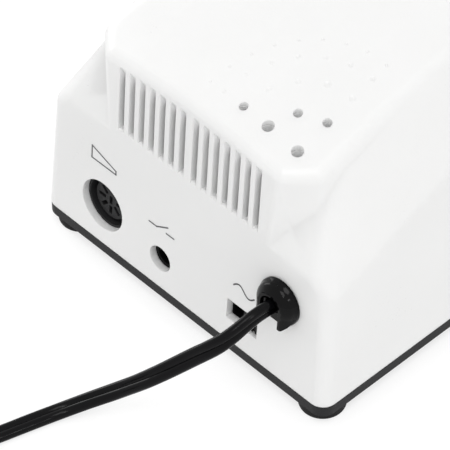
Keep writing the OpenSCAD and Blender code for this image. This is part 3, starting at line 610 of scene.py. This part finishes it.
def strokes(
    lines: Iterable[Sequence[Flat]], width: float, thick: float, place: Matrix
) -> bpy.types.Mesh:
    """Make printed lines as thin bars in the local XY plane.

    Args:
        lines: Point lists in mm; each pair of neighbours gives one bar.
        width: Width of the lines in mm.
        thick: Height of the ink in mm.
        place: Matrix from the local frame to the shared frame.

    Returns:
        The mesh of all the bars.
    """
    made = bmesh.new()
    for line in lines:
        for a, b in zip(line, line[1:]):
            run = Vector((b[0] - a[0], b[1] - a[1], 0.0))
            turn = Matrix.Rotation(math.atan2(run.y, run.x), 4, "Z")
            middle = Vector(((a[0] + b[0]) / 2, (a[1] + b[1]) / 2, thick / 2))
            scale = Matrix.Diagonal(Vector((run.length + width, width, thick)) * MM).to_4x4()
            bar = Matrix.Translation(middle * MM) @ turn @ scale
            bmesh.ops.create_cube(made, size=1.0, matrix=bar)
    made.transform(place)
    return mesh_of(made, "strokes")


def circle(centre: Flat, radius: float, steps: int) -> list[Flat]:
    """Return points round a closed circle.

    Args:
        centre: Middle of the circle in mm.
        radius: Radius in mm.
        steps: Number of chords.

    Returns:
        The points in mm.
    """
    angles = [math.radians(360 * k / steps) for k in range(steps + 1)]
    return [(centre[0] + radius * math.cos(a), centre[1] + radius * math.sin(a)) for a in angles]


class NodeTool(NodeKit):
    """A geometry node tree that is built by code and applied once."""

    def __init__(self, name: str, count: str, sizes: Sequence[str], fed: bool = False) -> None:
        """Start a tree with its named inputs.

        Args:
            name: Name of the tree.
            count: Name of its whole-number input.
            sizes: Names of its other inputs.
            fed: True if the tree works on the mesh of the object that it is applied to.
        """
        super().__init__(bpy.data.node_groups.new(name, "GeometryNodeTree"))
        face = self.tree.interface
        face.new_socket("Geometry", in_out="OUTPUT", socket_type="NodeSocketGeometry")
        if fed:
            face.new_socket("Geometry", in_out="INPUT", socket_type="NodeSocketGeometry")
        self.inlet = self.tree.nodes.new("NodeGroupInput")
        self.outlet = self.tree.nodes.new("NodeGroupOutput")
        self.keys: dict[str, str] = {}
        kinds = {count: "NodeSocketInt", **dict.fromkeys(sizes, "NodeSocketFloat")}
        for item, kind in kinds.items():
            self.keys[item] = face.new_socket(item, in_out="INPUT", socket_type=kind).identifier

    def value(self, name: str) -> Socket:
        """Return the socket of a named input."""
        return self.inlet.outputs[name]

    def vector(self, *parts: object) -> Socket:
        """Add a node that joins numbers to a vector.

        Args:
            *parts: Sockets or numbers for X, Y and Z.

        Returns:
            The vector's socket.
        """
        node = self.add("ShaderNodeCombineXYZ")
        for slot, item in zip(node.inputs, parts):
            self.feed(slot, item)
        return node.outputs["Vector"]

    def block(self, width: Socket, deep: Socket, high: Socket) -> Socket:
        """Add a block of three sizes and return its socket."""
        size = self.vector(width, deep, high)
        return self.add("GeometryNodeMeshCube", {"Size": size}).outputs["Mesh"]

    def points(self, count: Socket, **inputs: Socket) -> Socket:
        """Add a line of points and return its socket."""
        line = self.add("GeometryNodeMeshLine", {"Count": count, **inputs}, mode="OFFSET")
        return line.outputs["Mesh"]

    def moved(self, shape: Socket, place: Socket) -> Socket:
        """Add a node that sets each point's place and return its socket."""
        node = self.add("GeometryNodeSetPosition", {"Geometry": shape, "Position": place})
        return node.outputs["Geometry"]

    def copies(self, points: Socket, shape: Socket, **inputs: Socket) -> Socket:
        """Add copies of a shape on points and return their socket."""
        inputs = {"Points": points, "Instance": shape, **inputs}
        return self.add("GeometryNodeInstanceOnPoints", inputs).outputs["Instances"]

    def named(self, name: str, kind: str = "FLOAT") -> Socket:
        """Add a node that reads a named attribute of a data type and return its socket."""
        node = self.add("GeometryNodeInputNamedAttribute", {"Name": name}, data_type=kind)
        return node.outputs["Attribute"]

    def store(self, shape: Socket, name: str, item: Socket, **settings: str) -> Socket:
        """Add a node that stores a named attribute.

        Args:
            shape: Socket of the geometry.
            name: Name of the attribute.
            item: Socket of its value.
            **settings: Data type and domain of the attribute.

        Returns:
            The geometry's socket.
        """
        inputs = {"Geometry": shape, "Name": name, "Value": item}
        node = self.add("GeometryNodeStoreNamedAttribute", inputs, **settings)
        return node.outputs["Geometry"]

    def close(self, shape: Socket, finish: Finish) -> None:
        """End the tree with real geometry and a material.

        Args:
            shape: Socket with the geometry or the instances.
            finish: Finish of the result.
        """
        real = self.add("GeometryNodeRealizeInstances", {"Geometry": shape})
        inputs = {"Geometry": real.outputs["Geometry"], "Material": finish.material()}
        dress = self.add("GeometryNodeSetMaterial", inputs)
        self.feed(self.outlet.inputs["Geometry"], dress.outputs["Geometry"])

    def apply(
        self,
        name: str,
        finish: Finish,
        values: dict[str, object],
        place: Matrix,
        start: bpy.types.Mesh | None = None,
    ) -> bpy.types.Object:
        """Run the tree and keep its result as a plain mesh.

        Args:
            name: Name of the piece.
            finish: Its finish.
            values: Values of the named inputs, in metres or radians.
            place: Matrix from the tree's frame to the shared frame.
            start: Mesh that a fed tree works on.

        Returns:
            The piece at the origin.
        """
        piece = link(name, start or bpy.data.meshes.new(name), finish)
        run = piece.modifiers.new("nodes", "NODES")
        run.node_group = self.tree
        for key, item in values.items():
            run[self.keys[key]] = item
        bpy.context.view_layer.update()
        graph = bpy.context.evaluated_depsgraph_get()
        mesh = bpy.data.meshes.new_from_object(piece.evaluated_get(graph), depsgraph=graph)
        piece.modifiers.clear()
        mesh.transform(place)
        mesh.materials.clear()
        mesh.materials.append(finish.material())
        piece.data = mesh
        return piece


def dial_tool(name: str, finish: Finish) -> NodeTool:
    """Make a tree that sets bars round an arc, each along its radius.

    Args:
        name: Name of the tree.
        finish: Finish of the bars.

    Returns:
        The tool, with inputs Count, Radius, Start, Step, Length, Width and Thickness.
    """
    tool = NodeTool(name, "Count", ("Radius", "Start", "Step", "Length", "Width", "Thickness"))
    radius = tool.value("Radius")
    index = tool.add("GeometryNodeInputIndex").outputs["Index"]
    swung = tool.math("MULTIPLY", index, tool.value("Step"))
    angle = tool.math("ADD", tool.value("Start"), swung)
    across = tool.math("MULTIPLY", radius, tool.math("COSINE", angle))
    along = tool.math("MULTIPLY", radius, tool.math("SINE", angle))
    spots = tool.moved(tool.points(tool.value("Count")), tool.vector(across, along))
    bar = tool.block(*(tool.value(item) for item in ("Length", "Width", "Thickness")))
    tool.close(tool.copies(spots, bar, Rotation=tool.vector(0.0, 0.0, angle)), finish)
    return tool


def sweep_tool(name: str, finish: Finish) -> NodeTool:
    """Make a tree that sweeps a twin section along a line of edges.

    The line carries the section's wide direction as "side" and its own length as "along".

    Args:
        name: Name of the tree.
        finish: Finish of the swept piece.

    Returns:
        The tool, with inputs Points, Lobe, Shift, Open and Round Step.
    """
    tool = NodeTool(name, "Points", ("Lobe", "Shift", "Open", "Round Step"), fed=True)
    count, lobe = tool.value("Points"), tool.value("Lobe")
    around = {"Resolution": tool.math("MULTIPLY", count, 2.0)}
    ring = tool.add("GeometryNodeCurvePrimitiveCircle", around, mode="RADIUS").outputs["Curve"]
    index = tool.add("GeometryNodeInputIndex").outputs["Index"]
    place = tool.math("MODULO", index, count)
    part = tool.math("DIVIDE", place, tool.math("SUBTRACT", count, 1.0))
    swing = tool.math("SUBTRACT", tool.math("MULTIPLY", part, 2.0), 1.0)
    angle = tool.math("MULTIPLY", tool.value("Open"), swing)
    second = tool.math("FLOOR", tool.math("DIVIDE", index, count))
    sign = tool.math("SUBTRACT", 1.0, tool.math("MULTIPLY", second, 2.0))
    bulge = tool.math("MULTIPLY", lobe, tool.math("COSINE", angle))
    reach = tool.math("ADD", tool.value("Shift"), bulge)
    rise = tool.math("MULTIPLY", lobe, tool.math("SINE", angle))
    spot = tool.vector(tool.math("MULTIPLY", sign, reach), tool.math("MULTIPLY", sign, rise))
    section = tool.store(
        tool.moved(ring, spot), "round", index, data_type="FLOAT", domain="POINT"
    )
    line = tool.add("GeometryNodeMeshToCurve", {"Mesh": tool.value("Geometry")}).outputs["Curve"]
    side = {"Curve": line, "Normal": tool.named("side", "FLOAT_VECTOR")}
    turned = tool.add("GeometryNodeSetCurveNormal", side, mode="FREE").outputs["Curve"]
    swept = {"Curve": turned, "Profile Curve": section, "Fill Caps": True}
    skin = tool.add("GeometryNodeCurveToMesh", swept).outputs["Mesh"]
    round_part = tool.math("MULTIPLY", tool.named("round"), tool.value("Round Step"))
    spread = tool.vector(round_part, tool.named("along"))
    mapped = tool.store(skin, "run", spread, data_type="FLOAT2", domain="CORNER")
    tool.close(mapped, finish)
    return tool


def plate_tool(name: str, finish: Finish) -> NodeTool:
    """Make a tree that stacks plates with two windows along Y.

    Args:
        name: Name of the tree.
        finish: Finish of the plates.

    Returns:
        The tool, with inputs Count, Pitch, Thickness, Width, Height, Window Width,
        Window Height and Window Shift.
    """
    windows = ("Window Width", "Window Height", "Window Shift")
    tool = NodeTool(name, "Count", ("Pitch", "Thickness", "Width", "Height", *windows))
    width, high, shift = (tool.value(item) for item in windows)
    thick = tool.value("Thickness")
    cut = tool.add("GeometryNodeMeshBoolean", operation="DIFFERENCE", solver="EXACT")
    plate = tool.block(tool.value("Width"), thick, tool.value("Height"))
    tool.feed(cut.inputs["Mesh 1"], plate)
    for sign in (-1.0, 1.0):
        window = {
            "Geometry": tool.block(width, tool.math("MULTIPLY", thick, 3.0), high),
            "Translation": tool.vector(tool.math("MULTIPLY", shift, sign)),
        }
        moved = tool.add("GeometryNodeTransform", window)
        tool.feed(cut.inputs["Mesh 2"], moved.outputs["Geometry"])
    spots = tool.points(tool.value("Count"), Offset=tool.vector(0.0, tool.value("Pitch")))
    tool.close(tool.copies(spots, cut.outputs["Mesh"]), finish)
    return tool


@dataclass(frozen=True)
class Lamp:
    """A square soft light, with its place and side in metres and its power in watts."""

    name: str
    place: Point
    side: float
    power: float

    def build(self, target: Point) -> None:
        """Put the light into the scene.

        Args:
            target: Point that it faces, in metres.
        """
        data = bpy.data.lights.new(self.name, "AREA")
        data.size = self.side
        data.energy = self.power
        lamp = bpy.data.objects.new(self.name, data)
        aim = Vector(target) - Vector(self.place)
        lamp.location = self.place
        lamp.rotation_euler = aim.to_track_quat("-Z", "Y").to_euler()
        bpy.context.scene.collection.objects.link(lamp)


@dataclass
class Studio:
    """Camera at the photograph's angle, pale floor and soft lights; metres and degrees."""

    place: Point = (-0.43905, 0.47014, 0.64555)
    azimuth: float = 226.246
    elevation: float = 45.56
    lens: float = 247.965  # mm
    sensor: float = 36.0  # mm
    near: float = 0.02
    floor_size: float = 4.0
    floor_parts: int = 4
    floor_grey: float = 0.3
    floor_rough: float = 0.9
    floor_glow: float = 0.71
    world_glow: float = 0.975
    target: Point = (0.0, 0.0, 0.05)
    lamps: tuple[Lamp, ...] = (
        Lamp("top_light", (-0.44, 0.5, 1.8), 0.8, 7.1),
        Lamp("left_fill", (1.6, -0.1, 0.45), 0.8, 5.6),
        Lamp("spark_light", (-0.55, 0.75, 1.1), 0.14, 1.0),
        Lamp("rim_light", (-1.1, 0.1, 0.9), 0.14, 0.7),
    )

    def build(self) -> None:
        """Make the camera, the floor, the pale surroundings and the lights."""
        self._camera()
        self._floor()
        self._world()
        for lamp in self.lamps:
            lamp.build(self.target)

    def _camera(self) -> None:
        """Make the camera and plain colours for its picture."""
        a, e = math.radians(self.azimuth), math.radians(self.elevation)
        back = Vector((math.sin(a) * math.cos(e), -math.cos(a) * math.cos(e), math.sin(e)))
        right = Vector((math.cos(a), math.sin(a), 0.0))
        turn = Matrix((right, back.cross(right), back)).transposed()
        data = bpy.data.cameras.new("camera")
        data.lens = self.lens
        data.sensor_width = self.sensor
        data.clip_start = self.near
        camera = bpy.data.objects.new("camera", data)
        camera.matrix_world = Matrix.Translation(self.place) @ turn.to_4x4()
        scene = bpy.context.scene
        scene.collection.objects.link(camera)
        scene.camera = camera
        scene.view_settings.view_transform = "Standard"

    def _floor(self) -> None:
        """Make the plain floor."""
        made = bmesh.new()
        parts = self.floor_parts
        bmesh.ops.create_grid(made, x_segments=parts, y_segments=parts, size=self.floor_size)
        mesh = mesh_of(made, "floor")
        obj = bpy.data.objects.new("floor", mesh)
        bpy.context.scene.collection.objects.link(obj)
        mat = bpy.data.materials.new("floor_pale")
        mat.use_nodes = True
        inputs = mat.node_tree.nodes["Principled BSDF"].inputs
        grey = self.floor_grey
        inputs["Base Color"].default_value = (grey, grey, grey, 1.0)
        inputs["Roughness"].default_value = self.floor_rough
        inputs["Emission Color"].default_value = WHITE
        inputs["Emission Strength"].default_value = self.floor_glow
        mesh.materials.append(mat)

    def _world(self) -> None:
        """Make the pale surroundings."""
        world = bpy.data.worlds.new("surroundings")
        world.use_nodes = True
        inputs = world.node_tree.nodes["Background"].inputs
        inputs["Color"].default_value = WHITE
        inputs["Strength"].default_value = self.world_glow
        bpy.context.scene.world = world


@dataclass
class MainsCord:
    """Flat twin cord from the bush to the plug, with its coil, tie and plug; mm and degrees."""

    width: float = 5.2
    thick: float = 3.0
    coil_r: float = 38.0
    pitch: float = 3.8
    space: float = 0.6
    turns: float = 3.25  # in each of the two layers
    climb: float = 0.5  # turns from the lower layer to the upper one
    bow: float = 0.35  # pitches that the climb swings inwards
    clear: float = 1.2  # between the coil and the floor
    tip: float = 40.0
    plug_thick: float = 15.0
    bush: Point = (-38.1, 65.438, 35.9)
    mouth: Flat = (9.0, 0.7)  # from the bush to where the cord leaves it, out and up
    lobe_points: int = 13
    lobe_open: float = 145.0
    round_step: float = 0.6  # between two points of the section on the UV map
    crease: float = 50.0
    span_steps: int = 6
    turn_steps: int = 48
    tip_steps: int = 12
    plug_soft: float = 1.6
    blade_soft: float = 0.3
    tie_soft: float = 0.4
    path: list[Station] = field(default_factory=list)

    def route(self) -> list[Station]:
        """Give the free stretch, which follows the solid cord's own points.

        Returns:
            Its points with the roll of the flat section.
        """
        x, y, z = self.bush
        lie, stand = self.thick / 2, self.width / 2
        high = stand + self.clear
        steps = [
            (0, -11, z - 0.85, 90), (0, -1, z - 0.08, 90), (0, 9.5, z + 0.73, 90),
            (2.1, 19.3, 32.4, 105), (8.7, 25.5, 25, 125), (17.1, 32.7, 16, 145),
            (24.3, 37.3, 9, 160), (30.1, 43.3, 4.6, 172), (34.7, 50.4, lie + 0.3, 180),
            (37.5, 58.9, lie, 180), (40, 67.6, lie, 180), (42.7, 76.7, lie + 0.5, 160),
            (45.1, 84.7, stand + 0.2, 125), (47.5, 93.7, high, 90), (49.9, 102.7, high, 90),
        ]
        return [(x + a, y + b, c, roll) for a, b, c, roll in steps]

    @staticmethod
    def _on(route: Sequence[Station], i: int, t: float) -> Station:
        """Give a point of the smooth curve through the route.

        Args:
            route: Points of the route.
            i: Number of the span.
            t: Place on the span, from 0 to 1.

        Returns:
            The point with its roll.
        """
        last = len(route) - 1
        near = (route[max(0, min(last, i + k))] for k in (-1, 0, 1, 2))
        return tuple(
            0.5 * (2 * q + (r - p) * t + (2 * p - 5 * q + 4 * r - s) * t * t
                   + (3 * q - p - 3 * r + s) * t**3)
            for p, q, r, s in zip(*near)
        )

    def line(self) -> None:
        """Fill the path: free stretch, spiral in, climb, spiral out and the run to the plug."""
        route = self.route()
        last = len(route) - 1
        parts = [k / self.span_steps for k in range(self.span_steps)]
        self.path = [self._on(route, i, t) for i in range(last) for t in parts] + [route[last]]
        end, before = route[last], self._on(route, last - 1, 0.5)
        run = math.atan2(end[1] - before[1], end[0] - before[0])
        low = self.width / 2 + self.clear
        high = low + self.width + self.space
        total = 2 * self.turns + self.climb
        self._wind(end, run, low, high)
        self._lead_out(run - 2 * math.pi * total, high)

    def _wind(self, end: Station, run: float, low: float, high: float) -> None:
        """Add the coil to the path.

        Args:
            end: Last point of the free stretch.
            run: Direction of the cord there, in radians.
            low: Height of the lower layer's middle.
            high: Height of the upper layer's middle.
        """
        x = end[0] + self.coil_r * math.sin(run) + self.width * math.cos(run)
        y = end[1] - self.coil_r * math.cos(run) + self.width * math.sin(run)
        total = 2 * self.turns + self.climb
        steps = round(total * self.turn_steps)
        for k in range(steps + 1):
            t = total * k / steps
            radius = self._radius(t, total)
            a = run + math.pi / 2 - 2 * math.pi * t
            lift = self._ease(max(0.0, min(1.0, (t - self.turns) / self.climb)))
            height = low + (high - low) * lift
            self.path.append((x + radius * math.cos(a), y + radius * math.sin(a), height, 90))

    def _lead_out(self, out: float, high: float) -> None:
        """Add the run from the coil down to the plug to the path.

        Args:
            out: Direction of the run, in radians.
            high: Height of the coil's upper layer.
        """
        x, y = self.path[-1][:2]
        for k in range(1, self.tip_steps + 1):
            d = k / self.tip_steps
            eased = self._ease(d)
            self.path.append((
                x + self.tip * d * math.cos(out),
                y + self.tip * d * math.sin(out),
                high - (high - self.plug_thick / 2) * eased,
                90 - 90 * eased,
            ))

    def _radius(self, t: float, total: float) -> float:
        """Give the coil's radius at a place along it.

        Args:
            t: Turns so far.
            total: Turns in all.

        Returns:
            The radius in mm.
        """
        if t < self.turns:
            wound = t
        elif t < self.turns + self.climb:
            swing = math.sin(math.pi * (t - self.turns) / self.climb)
            wound = self.turns + self.bow * swing
        else:
            wound = total - t
        return self.coil_r - self.pitch * wound

    @staticmethod
    def _ease(t: float) -> float:
        """Return a smooth step from 0 to 1."""
        return t * t * (3 - 2 * t)

    def spine(self) -> bpy.types.Mesh:
        """Make a line of edges from the path.

        Returns:
            The line, which carries the section's wide direction and the length so far.
        """
        self.line()
        points = [Vector(p[:3]) * MM for p in self.path]
        mesh = bpy.data.meshes.new("cord_spine")
        mesh.from_pydata(points, [(i, i + 1) for i in range(len(points) - 1)], [])
        mesh.attributes.new("side", "FLOAT_VECTOR", "POINT")
        mesh.attributes.new("along", "FLOAT", "POINT")
        side, along = mesh.attributes["side"], mesh.attributes["along"]
        walked = 0.0
        for i, point in enumerate(points):
            before, after = points[max(0, i - 1)], points[min(len(points) - 1, i + 1)]
            walked += (point - before).length
            ahead = (after - before).normalized()
            level = Vector((-ahead.y, ahead.x, 0.0)).normalized()
            roll = math.radians(self.path[i][3])
            side.data[i].vector = level * math.cos(roll) + ahead.cross(level) * math.sin(roll)
            along.data[i].value = walked
        return mesh

    def build(self) -> bpy.types.Object:
        """Sweep the twin section along the path.

        Returns:
            The cord with a UV map whose V runs along it, in metres.
        """
        lobe = self.thick / 2
        values = {
            "Points": self.lobe_points,
            "Lobe": lobe * MM,
            "Shift": (self.width / 2 - lobe) * MM,
            "Open": math.radians(self.lobe_open),
            "Round Step": self.round_step * MM,
        }
        tool = sweep_tool("twin_cord", VINYL)
        cord = tool.apply("mains_cord", VINYL, values, Matrix.Identity(4), self.spine())
        smooth(cord.data, self.crease)
        return cord

    def dress(self) -> None:
        cord = settle(self.build(), Body.BOX, ["cord_lead", "cord_coil"])
        plug = from_node("plug_body", BLACK, self.plug_soft)
        blades = from_node("plug_blades", STEEL, self.blade_soft)
        tie = from_node("cord_tie", BLACK, self.tie_soft)


@dataclass
class Shell:
    """Housing, base, feet, screws and the bit holder."""

    sharp: float = 28.0  # angle in degrees from which the housing's edges stay crisp
    rows: tuple[Row, ...] = (
        ("base_plate", TRIM, 0.3),
        ("feet", FOOT, 0.7),
        ("housing_screws", STEEL, 0.15),
        ("bit_block", PALE, 0.15),
        ("bit_tubes", SHELL, 0.1),
        ("bit_block_screws", STEEL, 0.15),
    )

    def dress(self) -> None:
        """Finish every piece of the shell."""
        from_node("housing", SHELL, 0.0, sharp=self.sharp)
        from_rows(self.rows)


@dataclass
class RearPanel:
    """Pedal sockets, voltage selector, cord bush and plain picture marks; sizes in mm."""

    ink: float = 0.45
    ink_thick: float = 0.04
    ink_lift: float = 0.02
    wave_step: float = 0.5
    wave_count: int = 16
    wave_high: float = 1.3
    wave_middle: float = 1.6
    spots: tuple[Flat, Flat, Flat] = ((32.8, 29.0), (8.6, 20.5), (-24.4, 20.0))
    rows: tuple[Row, ...] = (
        ("din_body", GREY, 0.2),
        ("din_shell", STEEL, 0.08),
        ("din_insert", GREY, 0.12),
        ("din_contacts", BRASS, 0.05),
        ("jack_body", BLACK, 0.2),
        ("jack_contact", STEEL, 0.15),
        ("selector_body", BLACK, 0.15),
        ("selector_slider", BLACK, 0.2, Body.SELECTOR),
        ("cord_bush", GLOSS, 0.45),
        ("bush_wedge", GLOSS, 0.3),
    )

    def dress(self) -> None:
        """Finish the sockets, the selector and the bush, and print the marks."""
        from_rows(self.rows)
        self._print()

    def _wave(self) -> list[Flat]:
        """Give one full wave about the middle of its mark.

        Returns:
            Its points in mm.
        """
        half = self.wave_count // 2
        return [
            ((k - half) * self.wave_step,
             self.wave_middle + self.wave_high * math.sin(math.pi * k / half))
            for k in range(self.wave_count + 1)
        ]

    def _print(self) -> None:
        """Print a pedal, a switch and a wave as plain pictures."""
        pictures = {
            "mark_pedal": [[(-5, 0), (5, 0), (5, 1.2), (-5, 4.4), (-5, 0)]],
            "mark_switch": [[(-5, 1), (-2, 1)], [(-2, 1), (2.4, 3.4)], [(2, 1), (5, 1)]],
            "mark_wave": [self._wave()],
        }
        lift = Matrix.Translation((0.0, self.ink_lift * MM, 0.0))
        flip = Matrix.Rotation(math.pi, 4, "Z") @ Matrix.Rotation(math.pi / 2, 4, "X")
        for (name, lines), spot in zip(pictures.items(), self.spots):
            mesh = strokes(lines, self.ink, self.ink_thick, BOX.rear(*spot) @ lift @ flip)
            settle(link(name, mesh, INK), Body.BOX)


@dataclass
class FrontPanel:
    """Sloped panel with its controls, a plain dial and plain signs; sizes in mm and degrees."""

    rocker_u: float = 28.0
    sign_v: float = 7.8
    ink: float = 0.45
    ink_thick: float = 0.05
    knob_v: float = 56.0
    dial_r: float = 20.4
    dial_count: int = 31
    dial_start: float = -60.0
    dial_step: float = 10.0
    tick: Point = (3.2, 0.5, 0.06)
    rows: tuple[Row, ...] = (
        ("front_panel", TRIM, 0.35),
        ("power_switch", BLACK, 0.35),
        ("power_rocker", GREY, 0.4, Body.POWER),
        ("mode_switch", BLACK, 0.35),
        ("mode_rocker", GREY, 0.4, Body.MODE),
        ("direction_switch", BLACK, 0.35),
        ("direction_rocker", GREY, 0.4, Body.DIRECTION),
        ("switch_terminals", BRASS, 0.1),
        ("speed_pot", STEEL, 0.2),
        ("pot_nut", STEEL, 0.2),
        ("pot_shaft", STEEL, 0.3, Body.KNOB),
        ("speed_knob", BLACK, 0.3, Body.KNOB),
        ("knob_pointer", PAINT, 0.1, Body.KNOB),
        ("led_holder", BLACK, 0.25),
        ("led_lens", LENS, 0.1),
        ("handpiece_socket", GREY, 0.25),
        ("handpiece_nut", STEEL, 0.3),
    )

    def dress(self) -> None:
        """Finish the controls and print the dial and the plain signs."""
        from_rows(self.rows)
        self._dial()
        self._signs()

    def _dial(self) -> None:
        """Print the ticks of the speed dial round the knob."""
        long, wide, thick = (c * MM for c in self.tick)
        values = {
            "Count": self.dial_count,
            "Radius": self.dial_r * MM,
            "Start": math.radians(self.dial_start),
            "Step": math.radians(self.dial_step),
            "Length": long,
            "Width": wide,
            "Thickness": thick,
        }
        lift = Matrix.Translation((0.0, 0.0, BOX.panel_top * MM + thick / 2))
        place = BOX.front(0.0, self.knob_v) @ lift
        ticks = dial_tool("dial_ticks", PAINT).apply("dial_ticks", PAINT, values, place)
        settle(ticks, Body.BOX)

    def _signs(self) -> None:
        """Print plain signs under the rockers."""
        signs = {
            "sign_power": [[(-2.6, -1.4), (-2.6, 1.4)], circle((2.4, 0.0), 1.4, 20)],
            "sign_mode": [[(-4, -1.4), (4, -1.4), (4, -0.4), (-4, 1.8), (-4, -1.4)]],
            "sign_direction": [
                [(-4.6, 0), (-1.2, 0)], [(-3.2, 1.2), (-4.6, 0), (-3.2, -1.2)],
                [(1.2, 0), (4.6, 0)], [(3.2, 1.2), (4.6, 0), (3.2, -1.2)],
            ],
        }
        lift = Matrix.Translation((0.0, 0.0, BOX.panel_top * MM))
        for (name, lines), side in zip(signs.items(), (-1, 0, 1)):
            place = BOX.front(side * self.rocker_u, self.sign_v) @ lift
            mesh = strokes(lines, self.ink, self.ink_thick, place)
            settle(link(name, mesh, PAINT), Body.BOX)


@dataclass
class Insides:
    """Transformer and circuit board with what they carry; sizes in mm."""

    core: Point = (54.0, 20.0, 45.0)
    core_at: Flat = (10.1, 5.8)
    plates: int = 36
    plate: float = 0.5
    rows: tuple[Row, ...] = (
        ("transformer_bobbin", PALE, 0.3),
        ("transformer_winding", TAPE, 0.3),
        ("transformer_strap", STEEL, 0.3),
        ("strap_screws", STEEL, 0.3),
        ("circuit_board", BOARD, 0.1),
        ("board_screws", STEEL, 0.3),
        ("capacitor", SLEEVE, 0.3),
        ("rectifier", BLACK, 0.3),
        ("heat_sink", ALLOY, 0.3),
        ("power_transistor", BLACK, 0.3),
        ("fuse", GLASS, 0.3),
        ("fuse_clips", BRASS, 0.3),
    )

    def build(self) -> bpy.types.Object:
        """Stack the plates of the transformer's core.

        Returns:
            The core.
        """
        width, deep, high = (c * MM for c in self.core)
        thick = self.plate * MM
        values = {
            "Count": self.plates,
            "Pitch": (deep - thick) / (self.plates - 1),
            "Thickness": thick,
            "Width": width,
            "Height": high,
            "Window Width": width / 6,
            "Window Height": high - width / 3,
            "Window Shift": width / 4,
        }
        y, z = (c * MM for c in self.core_at)
        first = Matrix.Translation((0.0, y - (deep - thick) / 2, z + high / 2))
        return plate_tool("core_plates", IRON).apply("core_plates", IRON, values, first)

    def dress(self) -> None:
        """Finish every inner piece."""
        settle(self.build(), Body.BOX, ["transformer_core"])
        from_rows(self.rows)


def main() -> None:
    """Build every sub-assembly in order."""
    logging.basicConfig(level=logging.INFO, format="%(name)s: %(message)s")
    Studio().build()
    for part in (MainsCord(), Shell(), RearPanel(), FrontPanel(), Insides()):
        LOG.info("dressing %s", type(part).__name__)
        part.dress()


if __name__ == "__main__":
    main()
